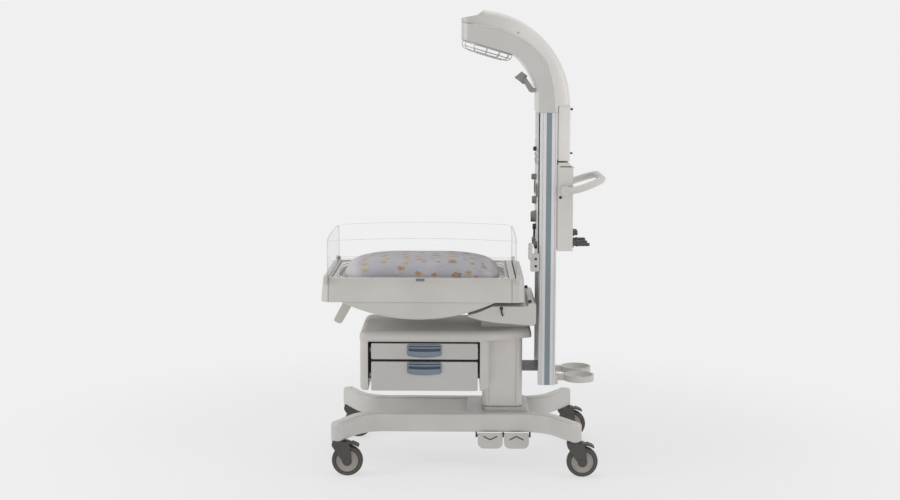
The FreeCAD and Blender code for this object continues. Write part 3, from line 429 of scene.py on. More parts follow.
heat = {"place": (0.092, 0.0, 1.71165), "tilt": math.atan(63.5 / 216.0), "rim": 0.106, "drop": 0.036,
        "rimWire": 0.0024, "wire": 0.0014, "spokes": 12,
        "hoops": [(0.985, 0.55), (0.88, 0.84), (0.66, 0.955), (0.44, 0.985), (0.22, 1.0)],
        "bow": [(0, 0.995, 0.07), (0.3, 0.985, 0.55), (0.5, 0.88, 0.84), (0.75, 0.55, 0.97), (1, 0.2, 1.0)]}
tiltCos, tiltSin = math.cos(heat["tilt"]), math.sin(heat["tilt"])


def intoHead(points):  # from the heater's own upright frame to its tilted seat
    p = np.asarray(points, float)
    return np.stack([p[..., 0] * tiltCos + p[..., 2] * tiltSin, p[..., 1],
                     -p[..., 0] * tiltSin + p[..., 2] * tiltCos], -1) + np.array(heat["place"])


def hoop(radius, z, count=96):  # a level ring of points
    t = np.linspace(0, 2 * np.pi, count, endpoint=False)
    return np.stack([radius * np.cos(t), radius * np.sin(t), np.full(count, z)], -1)


coated("guardWire", {"colour": (190, 189, 187), "rough": 0.3, "metal": 0.6, "spread": 0.06, "edge": 0.0005})
coated("sheathMetal", {"colour": (112, 98, 88), "rough": 0.5, "metal": 0.6, "spread": 0.25, "drift": 40.0,
                       "edge": 0.0005})
coated("brightSheet", {"colour": (222, 221, 216), "rough": 0.2, "metal": 0.95, "spread": 0.04, "bump": 0.03,
                       "edge": 0.0008})
guardParts = [sweep(intoHead(hoop(heat["rim"], -0.0026)), heat["rimWire"], 10, True)]
for share, depth in heat["hoops"]:
    guardParts.append(sweep(intoHead(hoop(heat["rim"] * share, -heat["drop"] * depth)), heat["wire"], 8, True))
bowAt, bowR, bowZ = np.array(heat["bow"]).T
bowSteps = np.linspace(0, 1, 15)
spokeR = heat["rim"] * np.interp(bowSteps, bowAt, bowR)
spokeZ = -heat["drop"] * np.interp(bowSteps, bowAt, bowZ)
for k in range(heat["spokes"]):
    turnTo = k * 2 * np.pi / heat["spokes"]
    path = np.stack([spokeR * math.cos(turnTo), spokeR * math.sin(turnTo), spokeZ], -1)
    guardParts.append(sweep(intoHead(path), heat["wire"], 8))
guard = addPiece("wireGuard", "lift", guardParts, ["guardWire"])
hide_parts("heater_guard")
dress("sheathMetal", "heater_element")
dress("brightSheet", "heater_reflector")
print("heater guarded")


# mattress: a slack cushion blown up as cloth, the swelling capped, then smoothed once

bedding = {"centre": (-0.175, 0.0), "half": (0.338, 0.240), "corner": 0.150, "floor": 0.762, "crown": 0.850,
           "slack": 0.010, "voxel": 0.006, "cap": 0.010, "pressure": 4.0, "frames": 20,
           "well": (-0.5255, 0.1695, 0.2435), "wellTop": 0.80}
cotton = {"ground": [(178, 177, 186), (194, 193, 200)], "petals": [(190, 144, 84), (200, 170, 92), (160, 124, 92)],
          "heart": (152, 116, 96), "leaves": [(178, 178, 128), (206, 176, 122)], "plainEnd": (218, 217, 220),
          "hem": (206, 205, 207), "flowerScale": 14.5, "leafScale": 27.0, "endFrom": 0.285, "hemAt": 0.792,
          "threads": 5200.0, "crease": 0.014}


def cushionRings():
    # plan outline drawn in at the foot and the shoulder, more at the two ends than at the sides, then a low dome
    tall = bedding["crown"] - bedding["floor"] - bedding["slack"]
    steps = [(0.022, 0.022, 0.0015), (0.008, 0.008, 0.004), (0.0, 0.0, 0.014), (0.001, 0.0, tall * 0.34),
             (0.011, 0.002, tall * 0.52), (0.032, 0.008, tall * 0.68), (0.066, 0.020, tall * 0.82),
             (0.108, 0.038, tall * 0.915), (0.150, 0.064, tall * 0.965), (0.185, 0.110, tall * 0.992),
             (0.240, 0.170, tall)]
    wide, deep = (2 * (h - bedding["slack"]) for h in bedding["half"])
    rings = []
    for ends, sides, lift in steps:
        flat = roundRect(wide - 2 * ends, deep - 2 * sides, max(bedding["corner"] - sides, 0.03), 14)
        rings.append(np.column_stack([flat + bedding["centre"], np.full(len(flat), bedding["floor"] + lift)]))
    return rings


def applyModifiers(piece):
    depsgraph = bpy.context.evaluated_depsgraph_get()
    mesh = bpy.data.meshes.new_from_object(piece.evaluated_get(depsgraph))
    piece.modifiers.clear()
    old, piece.data = piece.data, mesh
    bpy.data.meshes.remove(old)


def readPoints(piece):
    flat = np.empty(len(piece.data.vertices) * 3)
    piece.data.vertices.foreach_get("co", flat)
    return flat.reshape(-1, 3)


def blowUp(piece):
    # cloth swollen by pressure; no point moves further than the cap, and the well's walls hold the low part in
    rest = readPoints(piece)
    cloth = piece.modifiers.new("pillow", "CLOTH")
    settings = cloth.settings
    settings.use_pressure = True
    settings.uniform_pressure_force = bedding["pressure"]
    settings.effector_weights.gravity = 0.0
    settings.quality = 6
    settings.mass = 0.4
    settings.tension_stiffness = 12.0
    settings.bending_stiffness = 0.3
    cloth.point_cache.frame_end = bedding["frames"]
    for number in range(1, bedding["frames"] + 1):
        scene.frame_set(number)
    applyModifiers(piece)
    scene.frame_set(1)
    move = readPoints(piece) - rest
    size = np.linalg.norm(move, axis=1, keepdims=True)
    place = rest + move * np.minimum(1.0, bedding["cap"] / np.maximum(size, 1e-9))
    footX, headX, side = bedding["well"]
    low = place[:, 2] < bedding["wellTop"]
    place[:, 2] = np.clip(place[:, 2], bedding["floor"] + 0.0006, bedding["crown"] + 0.003)
    place[low, 0] = np.clip(place[low, 0], footX, headX)
    place[low, 1] = np.clip(place[low, 1], -side, side)
    piece.data.vertices.foreach_set("co", place.ravel())
    piece.data.update()


def clothMaterial():
    # pale cotton: scattered round motifs with petals, one per Voronoi cell, thinned out by the cell's own random value
    tree, shader, calc = newMaterial("printedCotton")
    source = addNode(tree, "TexCoord").outputs
    coords = source["Object"]
    spot = splitAxes(tree, coords)
    below = calc("SUBTRACT", bedding["crown"], spot["Z"])
    laid = addNode(tree, "VectorMath", {0: source["Normal"], 1: below, 2: coords}, operation="MULTIPLY_ADD")
    laid = laid.outputs[0]  # the print unrolled down the sides, along the normal

    spaced = addNode(tree, "VectorMath", {0: laid, "Scale": cotton["flowerScale"]}, operation="SCALE").outputs[0]
    cells = addNode(tree, "TexVoronoi", voronoi_dimensions="2D")
    fill(tree, cells, {"Vector": spaced, "Scale": 1.0, "Randomness": 0.75})
    local = addNode(tree, "VectorMath", {0: spaced, 1: cells.outputs["Position"]}, operation="SUBTRACT")
    axes = splitAxes(tree, local.outputs[0])
    chance = addNode(tree, "SeparateColor", {0: cells.outputs["Color"]}).outputs
    angle = calc("ARCTAN2", axes["Y"], axes["X"])
    turned = calc("ADD", angle, calc("MULTIPLY", chance["Green"], 6.0))
    petals = calc("SQRT", calc("ABSOLUTE", calc("COSINE", calc("MULTIPLY", turned, 2.5))))  # five rounded lobes
    edgeAt = calc("ADD", 0.14, calc("MULTIPLY", petals, 0.14))
    edgeAt = calc("MULTIPLY", edgeAt, calc("ADD", 0.72, calc("MULTIPLY", chance["Blue"], 0.5)))
    radius = calc("SQRT", calc("ADD", calc("MULTIPLY", axes["X"], axes["X"]), calc("MULTIPLY", axes["Y"], axes["Y"])))
    inside = calc("MULTIPLY", calc("SUBTRACT", edgeAt, radius), 30.0, True)
    chosen = calc("LESS_THAN", chance["Red"], 0.82)
    petal = calc("MULTIPLY", inside, chosen)
    heart = calc("MULTIPLY", calc("LESS_THAN", radius, 0.07), chosen)
    hues = [srgb(*c) for c in cotton["petals"]]
    hue = ramp(tree, chance["Blue"], list(zip((0.3, 0.5, 0.75), hues)))
    grounds = [srgb(*c) for c in cotton["ground"]]
    ground = ramp(tree, noise(tree, coords, 6.0), list(zip((0.3, 0.7), grounds)))
    printed = mixColour(tree, calc("MULTIPLY", petal, 0.85), ground, hue)
    printed = mixColour(tree, calc("MULTIPLY", heart, 0.8), printed, srgb(*cotton["heart"]))

    leaves = addNode(tree, "TexVoronoi", voronoi_dimensions="2D")
    fill(tree, leaves, {"Vector": laid, "Scale": cotton["leafScale"]})
    pick = addNode(tree, "SeparateColor", {0: leaves.outputs["Color"]}).outputs
    leaf = calc("MULTIPLY", calc("LESS_THAN", leaves.outputs["Distance"], 0.17), calc("LESS_THAN", pick["Red"], 0.4))
    leafHues = [srgb(*c) for c in cotton["leaves"]]
    leafHue = ramp(tree, pick["Green"], list(zip((0.45, 0.55), leafHues)))
    printed = mixColour(tree, calc("MULTIPLY", leaf, 0.7), printed, leafHue)

    reach = calc("ABSOLUTE", calc("SUBTRACT", spot["X"], bedding["centre"][0]))
    ragged = calc("ADD", reach, calc("MULTIPLY", noise(tree, coords, 22.0), 0.08))
    turnIn = calc("MULTIPLY", calc("SUBTRACT", ragged, cotton["endFrom"]), 30.0, True)  # plain turned-in ends
    printed = mixColour(tree, calc("MULTIPLY", turnIn, 0.75), printed, srgb(*cotton["plainEnd"]))
    hem = calc("MULTIPLY", calc("SUBTRACT", cotton["hemAt"], spot["Z"]), 200.0, True)
    printed = mixColour(tree, hem, printed, srgb(*cotton["hem"]))

    warp, weft = (calc("SINE", calc("MULTIPLY", spot[a], cotton["threads"])) for a in ("X", "Y"))
    weave = calc("MULTIPLY", calc("MULTIPLY", warp, weft), 0.03)
    drawn = addNode(tree, "VectorMath", {0: coords, 1: (5.0, 17.0, 9.0)}, operation="MULTIPLY")
    folds = noise(tree, drawn.outputs[0], 1.0, 3.0, 0.5)  # creases run along the bed
    bump = addNode(tree, "Bump", {"Strength": 0.8, "Distance": cotton["crease"], "Height": calc("ADD", folds, weave)})
    fill(tree, shader, {"Base Color": printed, "Roughness": 0.88, "Sheen Weight": 0.2,
                        "Normal": bump.outputs["Normal"]})


clothMaterial()
rings = cushionRings()
ringSize = len(rings[0])
caps = [list(range(ringSize))[::-1], [k + ringSize * (len(rings) - 1) for k in range(ringSize)]]
walls = [list(f) for f in gridFaces(len(rings), ringSize, wrapCols=True)]
pad = addPiece("mattressPad", "bed", [(np.vstack(rings), walls + caps)], ["printedCotton"])
remesh = pad.modifiers.new("even", "REMESH")
remesh.mode = "VOXEL"
remesh.voxel_size = bedding["voxel"]
remesh.use_smooth_shade = True
applyModifiers(pad)
blowUp(pad)
pad.data.materials.clear()
pad.data.materials.append(bpy.data.materials["printedCotton"])
smooth = pad.modifiers.new("smooth", "SUBSURF")
smooth.levels = smooth.render_levels = 1
pad.data.shade_smooth()
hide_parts("mattress")
print("mattress blown up:", len(pad.data.vertices), "points")


# knobs: fluted grips turned about X, each (height, diameter, length, taper); gas inlets: ribbed stubs and capped ports

knobs = {"knob_oxygen": (1.179, 0.026, 0.020, 0.9), "knob_flow": (1.083, 0.035, 0.017, 0.85),
         "knob_suction": (1.016, 0.048, 0.022, 0.75)}
knobFace, knobY = 0.2967, 0.015
flutes = (18, 0.075, (0, 0, 0, 0.4, 1, 1, 0.6, 0, 0, 0))
for name, (z, across, length, taper) in knobs.items():
    r = across / 2
    line = [(0, 0), (r * 0.98, 0), (r, 0.0012), (r * 0.97, 0.003), (r * (1 + taper) / 2, length * 0.55),
            (r * taper, length - 0.0022), (r * (taper - 0.06), length - 0.0006), (r * (taper - 0.14), length),
            (r * 0.2, length - 0.0006), (0, length - 0.0008)]
    turned = lathe(line, (knobFace, knobY, z), front, 144, flutes)
    markAt = (knobFace - length + 0.0009, knobY, z + r * 0.42)
    mark = slab(roundRect(0.0016, r * 0.5, 0.0007), markAt, near, up, 0.0008, 0.0003) + (1,)
    grip = addPiece(name + "_grip", name, [turned, mark], ["knobPlastic", "handleGrip"])
    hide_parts(name)
fittings = {"back": 0.436, "stubs": [(-0.140, 0.926, 0.062), (-0.092, 0.910, 0.076), (-0.044, 0.926, 0.062)],
            "ports": [(-0.140, 0.964), (-0.092, 0.964)], "barbsFrom": 0.035, "boreDeep": 0.022}
coated("inletMetal", {"colour": (84, 82, 80), "rough": 0.3, "metal": 0.8, "spread": 0.1, "edge": 0.0008})
portLine = [(0, 0), (0.013, 0), (0.013, 0.0085), (0.0118, 0.010), (0.0088, 0.010), (0.0088, 0.012), (0.010, 0.013),
            (0.010, 0.0205), (0.0088, 0.022), (0.005, 0.022), (0.0045, 0.0205), (0, 0.0205)]


def stubLine(long):
    # collar, neck, nut, then three barbs that share what is left of the length, and a blind bore
    line = [(0, 0), (0.013, 0), (0.013, 0.0085), (0.0118, 0.010), (0.0072, 0.010), (0.0066, 0.016), (0.0066, 0.020),
            (0.0088, 0.021), (0.0088, 0.0285), (0.0066, 0.0295), (0.0066, 0.034)]
    barb = (long - fittings["barbsFrom"]) / 3
    for at in np.linspace(fittings["barbsFrom"], long, 4)[:3]:
        line += [(0.0080, at), (0.0060, at + barb - 0.0012)]
    floor = long - fittings["boreDeep"]
    return line + [(0.0048, long), (0.0034, long), (0.0034, floor), (0, floor)]


inletParts = [lathe(stubLine(long), (fittings["back"], y, z), rear) for y, z, long in fittings["stubs"]]
inletParts += [lathe(portLine, (fittings["back"], y, z), rear) for y, z in fittings["ports"]]
inlets = addPiece("inletStubs", "lift", inletParts, ["inletMetal"])
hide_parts("gas_inlets")
print("knobs and inlets")


# drawer pulls: a moulded plate with two lips across it, the lower one hooked

pulls = {"pull_upper": ("drawer_upper", 0.516), "pull_lower": ("drawer_lower", 0.443)}
cup = {"x": -0.160, "wide": 0.142, "high": 0.056, "round": 0.012, "face": -0.205, "plate": 0.0052, "frame": 0.0048,
       "sag": 0.035, "bow": 0.11, "hollows": [(0.345, 0.515), (0.15, 0.20)],
       "section": [(0, 0), (0.02, 3.5), (0.05, 5), (0.13, 5.4), (0.155, 3), (0.185, 2.6), (0.20, 7), (0.23, 9.2),
                   (0.28, 9.4), (0.33, 8), (0.355, 3), (0.40, 1.8), (0.49, 1.8), (0.515, 8), (0.545, 11.8),
                   (0.60, 12.7), (0.70, 12.2), (0.82, 9.8), (0.93, 6), (0.98, 3), (1, 0)]}
coated("pullPlastic", {"colour": (118, 131, 146), "rough": 0.4, "grain": 800.0, "bump": 0.05, "edge": 0.001,
                       "wearAndHighlight": (134, 146, 158)})
coated("hollowPlastic", {"colour": (84, 94, 107), "rough": 0.55, "edge": 0.001})  # shade inside the finger hollows


def rise(value, width):  # 0 below zero, straight up to 1 over the width
    return np.clip(value / width, 0, 1)


def pullSurface(top):
    # down s from 0 to 1, across t from -1 to 1; plan is a rounded oblong, depth the section (s, mm) faded at both ends
    s, t = np.meshgrid(np.linspace(0, 1, 113), np.linspace(-1, 1, 97), indexing="ij")
    out = np.abs(t)
    bowed = np.clip(s + cup["sag"] * t * t * np.sin(np.pi * s), 0, 1)  # lips sag a little in the middle
    deep = np.interp(bowed, *np.array(cup["section"]).T) / 1000
    d = np.clip(cup["round"] - cup["high"] * np.minimum(s, 1 - s), 0, cup["round"])
    half = cup["wide"] / 2 - cup["round"] + np.sqrt(cup["round"] ** 2 - d ** 2)
    flat = np.minimum(deep, cup["plate"]) * rise(1 - out, 0.03)
    edging = rise(out - 0.86, 0.04) * rise(1 - out, 0.03) * rise(s, 0.03) * rise(1 - s, 0.03)
    plate = np.maximum(flat, cup["frame"] * edging)
    inner = rise(0.93 - out, 0.06)
    bulge = plate + (np.maximum(deep, plate) - plate) * inner * inner * (3 - 2 * inner)
    drop = s * (1 - cup["bow"] * s * t * t)  # the lower edge bows down in the middle
    face = np.stack([cup["x"] + half * t, cup["face"] - bulge, top - cup["high"] * drop], -1)
    back = face.copy()
    back[..., 1] = cup["face"]
    faces = gridFaces(*s.shape)
    middle = (s[:-1, :-1] + s[1:, 1:]) / 2 + cup["sag"] * t[:-1, :-1] ** 2
    hollow = np.any([(middle > a) & (middle < b) for a, b in cup["hollows"]], 0) & (out[:-1, :-1] < 0.9)
    return [(face.reshape(-1, 3), faces, hollow.astype(int).ravel()), (back.reshape(-1, 3), faces[:, ::-1])]


for name, (body, top) in pulls.items():
    pull = addPiece(name + "_cup", body, pullSurface(top), ["pullPlastic", "hollowPlastic"], 30)
    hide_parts(name)
print("pulls moulded")


# mast screws: pan heads on hood, rear box and bracket, and the hanging pegs; each (place, direction, radius)

screws = {"steel": [((0.211, -0.1722, 1.768), near, 0.0034), ((0.211, 0.1722, 1.768), far, 0.0034)]
          + [((0.4362, y, z), rear, 0.0042) for y in (-0.155, 0.155) for z in (0.915, 1.230)],
          "black": [((0.288, -0.1872, z), near, 0.0052) for z in (0.833, 0.862)]
          + [((0.385, -0.1802, 1.111), near, 0.0062), ((0.385, 0.1802, 1.111), far, 0.0062)],
          "pegs": [((0.4218, y, z), rear, r, long) for z, r, long in ((1.464, 0.0048, 0.012), (1.287, 0.0036, 0.0125))
                   for y in (-0.14, 0.14)]}
coated("screwSteel", {"colour": (150, 148, 145), "rough": 0.32, "metal": 0.8, "spread": 0.08, "edge": 0.0005})


def screwHead(place, axis, r):  # pan head with a round socket sunk in its middle
    line = [(0, -0.0006), (r * 1.02, -0.0006), (r, 0.0004), (r * 0.86, 0.0016), (r * 0.52, 0.0020), (r * 0.48, 0.0019),
            (r * 0.44, 0.0004), (0, 0.0003)]
    return lathe(line, place, axis, 28)


screwParts = [screwHead(*s) for s in screws["steel"]]
screwParts += [screwHead(*s) + (1,) for s in screws["black"]] + [stud(*s) + (1,) for s in screws["pegs"]]
addPiece("mastScrews", "lift", screwParts, ["screwSteel", "blackRubberAndShade"])


# fascia front: keys, two dial gauges, hose sockets, the small black fittings under the knobs and a short black rod
# below them

panel = {"x": 0.297, "dials": [(-0.075, 1.130), (0.100, 1.130)], "dialR": 0.026, "keysZ": (1.292, 1.268, 1.244),
         "keysY": (-0.105, -0.075, -0.045, 0.060, 0.090, 0.120), "socketsZ": 0.905,
         "socketsY": (-0.09, -0.045, 0.055, 0.1), "middle": 0.015,
         "studs": [(1.295, 0.009, 0.014), (0.997, 0.006, 0.022), (0.971, 0.012, 0.014)],  # height, radius, length
         "stem": (0.927, 0.94, 0.955, 0.968), "beads": 6}


def paintDial():
    # white dial: dark ticks by angle near the rim, a needle, all from the two coordinates across the face
    tree, shader, calc = newMaterial("dialFace")
    axes = splitAxes(tree, addNode(tree, "UVMap", uv_map="dial").outputs[0])
    u, v = axes["X"], axes["Y"]
    radius = calc("SQRT", calc("ADD", calc("MULTIPLY", u, u), calc("MULTIPLY", v, v)))
    angle = calc("ARCTAN2", u, v)
    spokes = calc("GREATER_THAN", calc("COSINE", calc("MULTIPLY", angle, 24.0)), 0.8)
    ring = calc("MULTIPLY", calc("GREATER_THAN", radius, 0.74), calc("LESS_THAN", radius, 0.92))
    scale = calc("LESS_THAN", calc("ABSOLUTE", angle), 2.3)
    tick = calc("MULTIPLY", calc("MULTIPLY", spokes, ring), scale)
    across = calc("ABSOLUTE", calc("ADD", calc("MULTIPLY", u, 0.8), calc("MULTIPLY", v, 0.6)))
    along = calc("SUBTRACT", calc("MULTIPLY", v, 0.8), calc("MULTIPLY", u, 0.6))
    needle = calc("MULTIPLY", calc("LESS_THAN", across, 0.035), calc("GREATER_THAN", along, -0.15))
    needle = calc("MULTIPLY", needle, calc("LESS_THAN", radius, 0.7))
    marked = calc("MAXIMUM", tick, needle)
    fill(tree, shader, {"Base Color": mixColour(tree, marked, srgb(226, 226, 222), srgb(40, 42, 46)),
                        "Roughness": 0.25})


def giveDialUv(piece, centres, r):
    # each point's (y, z) measured from the nearest dial centre in dial radii
    layer = piece.data.uv_layers.new(name="dial")
    loops = np.array([loop.vertex_index for loop in piece.data.loops])
    flat = readPoints(piece)[loops][:, 1:]
    gaps = np.stack([flat - c for c in np.array(centres)], 0)
    best = np.argmin(np.linalg.norm(gaps, axis=-1), 0)
    layer.data.foreach_set("uv", (gaps[best, np.arange(len(flat))] * (-1, 1) / r).ravel())


coated("keyRubber", {"colour": (176, 180, 184), "rough": 0.5, "edge": 0.0008, "bump": 0.05})
paintDial()
faceX, dialR, middle = panel["x"], panel["dialR"], panel["middle"]
bezel = [(0, 0), (dialR + 0.004, 0), (dialR + 0.004, 0.0026), (dialR + 0.003, 0.0036), (dialR + 0.0012, 0.004),
         (dialR, 0.0034), (dialR, 0.002)]
dial = [(dialR, 0.002), (dialR * 0.5, 0.002), (0, 0.002)]
socket = [(0, 0), (0.013, 0), (0.013, 0.010), (0.0115, 0.012), (0.0085, 0.012), (0.0078, 0.011), (0.0078, 0.003),
          (0, 0.003)]
key = roundRect(0.022, 0.014, 0.004)
fasciaParts = [slab(key, (faceX, y, z), near, up, 0.0026, 0.0012) for y in panel["keysY"] for z in panel["keysZ"]]
for y, z in panel["dials"]:
    fasciaParts += [lathe(bezel, (faceX, y, z), front, 64) + (3,), lathe(dial, (faceX, y, z), front, 64) + (2,)]
for y in panel["socketsY"]:
    fasciaParts.append(lathe(socket, (faceX, y, panel["socketsZ"]), front, 40) + (3,))
for z, r, long in panel["studs"]:
    fasciaParts.append(stud((faceX, middle, z), front, r, long) + (1,))
# a short upright black rod standing off the face below the fittings
fasciaParts.append(sweep([(faceX - 0.007, middle, z) for z in panel["stem"]], 0.0042) + (1,))
for k in range(panel["beads"]):
    fasciaParts.append(stud((faceX, middle + 0.011 * (k % 2), 1.236 + 0.0065 * k), front, 0.0035, 0.0045))
fascia = addPiece("fasciaFittings", "lift", fasciaParts,
                  ["keyRubber", "blackRubberAndShade", "dialFace", "inletMetal"])
giveDialUv(fascia, panel["dials"], dialR)


# display: dark glass with plain moving-trace curves and filled blocks, no characters

screen = {"glass": (14, 18, 24), "half": 0.108, "traceTo": 0.05, "blocksFrom": 0.06, "blockHalf": 0.0095,
          "footAt": 1.324, "footTint": (60, 72, 88),
          "traces": [(1.409, 0.009, 150.0, (90, 190, 120)), (1.376, 0.006, 90.0, (90, 160, 220)),
                     (1.346, 0.004, 60.0, (220, 190, 90))]}  # height, swing, pitch, tint


def paintScreen():
    tree, shader, calc = newMaterial("screenGlow")
    axes = splitAxes(tree, objectPlace(tree))
    y, z = axes["Y"], axes["Z"]

    def isNear(level, reach):  # 1 within reach of that height
        return calc("LESS_THAN", calc("ABSOLUTE", calc("SUBTRACT", z, level)), reach)

    colour = srgb(*screen["glass"])
    inside = calc("LESS_THAN", calc("ABSOLUTE", y), screen["half"])
    left = calc("LESS_THAN", y, screen["traceTo"])
    right = calc("GREATER_THAN", y, screen["blocksFrom"])
    for level, swing, pitch, tint in screen["traces"]:
        # height of the trace: a sine sharpened by its own cube, drawn 1.6 mm wide
        wave = calc("SINE", calc("MULTIPLY", y, pitch))
        sharp = calc("MULTIPLY", calc("MULTIPLY", wave, wave), wave)
        trace = isNear(calc("ADD", calc("MULTIPLY", sharp, swing), level), 0.0008)
        colour = mixColour(tree, calc("MULTIPLY", calc("MULTIPLY", trace, inside), left), colour, srgb(*tint))
        block = calc("MULTIPLY", isNear(level, screen["blockHalf"]), right)
        colour = mixColour(tree, calc("MULTIPLY", calc("MULTIPLY", block, inside), 0.55), colour, srgb(*tint))
    dashes = calc("GREATER_THAN", calc("SINE", calc("MULTIPLY", y, 140.0)), -0.6)
    foot = calc("MULTIPLY", isNear(screen["footAt"], 0.005), dashes)
    colour = mixColour(tree, calc("MULTIPLY", foot, inside), colour, srgb(*screen["footTint"]))
    fill(tree, shader, {"Base Color": colour, "Emission Color": colour, "Emission Strength": 0.35, "Roughness": 0.16})


paintScreen()
dress("screenGlow", "display_screen")
print("fascia fitted")


# pedals: raised arrow marks, one pointing down and one up, on pads that lean back

pedals = {"pads": {"pedal_down": (0.1085, -1), "pedal_up": (0.2155, 1)}, "lean": math.radians(32),
          "foot": (-0.21319, 0.08932), "arrow": [(-0.028, -0.007), (0.0, 0.007), (0.028, -0.007)], "up": 0.042}
coated("markPaint", {"colour": (74, 70, 67), "rough": 0.6, "edge": 0.0005})
for name, (x, way) in pedals["pads"].items():
    path = []
    for across, tip in pedals["arrow"]:
        s = pedals["up"] + way * tip
        path.append((x + across, pedals["foot"][0] + s * math.sin(pedals["lean"]),
                     pedals["foot"][1] + s * math.cos(pedals["lean"])))
    first, middle, last = np.array(path)
    line = [first * (1 - k) + middle * k for k in (0, 0.5, 0.97)]
    line += [middle * (1 - k) + last * k for k in (0.03, 0.5, 1)]
    addPiece(name + "_mark", name, [sweep(line, 0.0031)], ["markPaint"])


# leg plugs: caps over the caster stems and a screw cap at each bend, in a paler plastic than the legs that partly
# stands in for their highlights as painted highlight; each (x, y, radius, height)

plugs = {"top": 0.2198, "caps": [(-0.5005, 0.300, 0.0085, 0.0028), (0.4395, 0.300, 0.0085, 0.0028),
                                 (-0.345, 0.143, 0.0058, 0.0024), (0.285, 0.143, 0.0058, 0.0024)]}
plugParts = [stud((x, side * y, plugs["top"]), up, r, tall) for side in (-1, 1) for x, y, r, tall in plugs["caps"]]
addPiece("legPlugs", "base", plugParts, ["rearPlastic"])


# bed trim: rim latch, and black strips of painted shade standing in for the slot lines on the two end decks; arm trim:
# rubber stops and a lock lever

decks = {"z": 0.7938, "lines": [(-0.5308, 0.0042), (-0.5408, 0.0026), (0.1768, 0.0045)], "wide": 0.490}
latch = {"place": (-0.176, -0.2696, 0.7875), "size": (0.034, 0.010), "wall": (0, 22, 94)}
bedParts = [slab(roundRect(*latch["size"], 0.003), latch["place"], rear, latch["wall"], 0.0026, 0.001)]
for x, width in decks["lines"]:
    line = roundRect(width, decks["wide"], width * 0.45)
    bedParts.append(slab(line, (x, 0, decks["z"]), rear, far, 0.0009, 0.0003) + (1,))
addPiece("bedTrim", "bed", bedParts, ["greyBracket", "blackRubberAndShade"])
arm = {"stops": [(0.266, -0.19, 0.685), (0.266, 0.19, 0.685)], "pivot": (0.150, -0.2095, 0.664),
       "lever": [(0.150, -0.2105, 0.664), (0.150, -0.2150, 0.663), (0.1502, -0.2165, 0.656), (0.151, -0.2165, 0.648),
                 (0.154, -0.2165, 0.640), (0.156, -0.2165, 0.634)]}
armParts = [stud(place, up, 0.0068, 0.0105) for place in arm["stops"]]
armParts += [sweep(arm["lever"], 0.0034, 14) + (1,), stud(arm["pivot"], near, 0.0075, 0.0035) + (1,)]
addPiece("armTrim", "lift", armParts, ["blackRubberAndShade", "darkSteel"])


# collar: a light moulded ring that fills the well round the mattress, cut to the mattress's own rounded outline

collar = {"outer": ((-0.178, 0.0), (0.3495, 0.2455), 0.020), "inner": ((-0.175, 0.0), (0.3385, 0.2435), 0.153),
          "z": (0.7625, 0.787), "groove": (4, 7),
          "top": [(0.3, 0.0002), (0.62, 0.0008), (0.66, 0.0030), (0.70, 0.0030), (0.74, 0.0012), (0.93, 0.0022),
                  (0.985, 0.0042), (1.0, 0.007)]}  # share of the way in, drop below the rim


def ringLine(shape, inset=0.0):  # a rounded oblong round its own centre
    centre, (a, b), r = shape
    return roundRect(2 * (a - inset), 2 * (b - inset), max(r - inset, 0.004), 24) + centre


low, high = collar["z"]
outer, inner = ringLine(collar["outer"]), ringLine(collar["inner"])
levels = [(outer, low), (outer, high - 0.002), (ringLine(collar["outer"], 0.0004), high)]
levels += [(outer * (1 - share) + inner * share, high - drop) for share, drop in collar["top"]] + [(inner, low)]
ringPoints = np.vstack([np.column_stack([line, np.full(len(line), z)]) for line, z in levels])
ringFaces = gridFaces(len(levels), len(outer), wrapRows=True, wrapCols=True)
# painted shade: the groove's faces take the black material, standing in for the shade down in the groove
grooveShade = np.zeros(len(levels), int)
grooveShade[slice(*collar["groove"])] = 1
addPiece("wellCollar", "bed", [(ringPoints, ringFaces, np.repeat(grooveShade, len(outer)))],
         ["rearPlastic", "blackRubberAndShade"])


# drawer gaps: black strips of painted shade in the gaps round the drawers; mast trim: black strips of painted shade in
# the gaps beside the fascia, vent slots drawn as black strips of painted shade; sleeve joint lines

drawerGaps = {"level": [(0.5187, 0.5222), (0.4447, 0.4503)], "upright": [(-0.3885, -0.3835), (0.0595, 0.0645)]}
gapShadeParts = [strip((-0.3880, -0.2035, z0), (0.0640, -0.2000, z1)) for z0, z1 in drawerGaps["level"]]
gapShadeParts += [strip((x0, -0.2030, 0.390), (x1, -0.1995, 0.5222)) for x0, x1 in drawerGaps["upright"]]
coated("blackGapShade", {"colour": (13, 13, 13), "rough": 0.9, "edge": 0.0005})
addPiece("drawerGapShade", "lift", gapShadeParts, ["blackGapShade"])
# painted shade: black strips in the gaps beside the fascia, and black vent slots standing in for the shade inside the
# openings
mast = {"fasciaGapShades": [(-0.1428, -0.1396), (0.1396, 0.1428)], "fasciaGapShadeX": (0.2976, 0.3017), "fasciaGapShadeZ": (0.802, 1.449),
        "vents": 7, "ventZ": 1.135, "ventPitch": 0.012, "lid": (0.406, -0.1802, 1.2345)}
mastParts = [strip(*zip(mast["fasciaGapShadeX"], sides, mast["fasciaGapShadeZ"])) for sides in mast["fasciaGapShades"]]
for k in range(mast["vents"]):
    place = (0.4362, 0, mast["ventZ"] + mast["ventPitch"] * k)
    mastParts.append(slab(roundRect(0.11, 0.0046, 0.0022), place, far, up, 0.0007, 0.0002))
mastParts.append(slab(roundRect(0.05, 0.0035, 0.0016), mast["lid"], rear, up, 0.0006, 0.0002))
addPiece("mastTrim", "lift", mastParts, ["blackRubberAndShade"])
sleeve = {"lines": (0.104, 0.2145), "wide": 0.0012, "z": (0.246, 0.526)}
sleeveParts = [strip((x, -0.0954, sleeve["z"][0]), (x + sleeve["wide"], -0.0949, sleeve["z"][1]))
               for x in sleeve["lines"]]
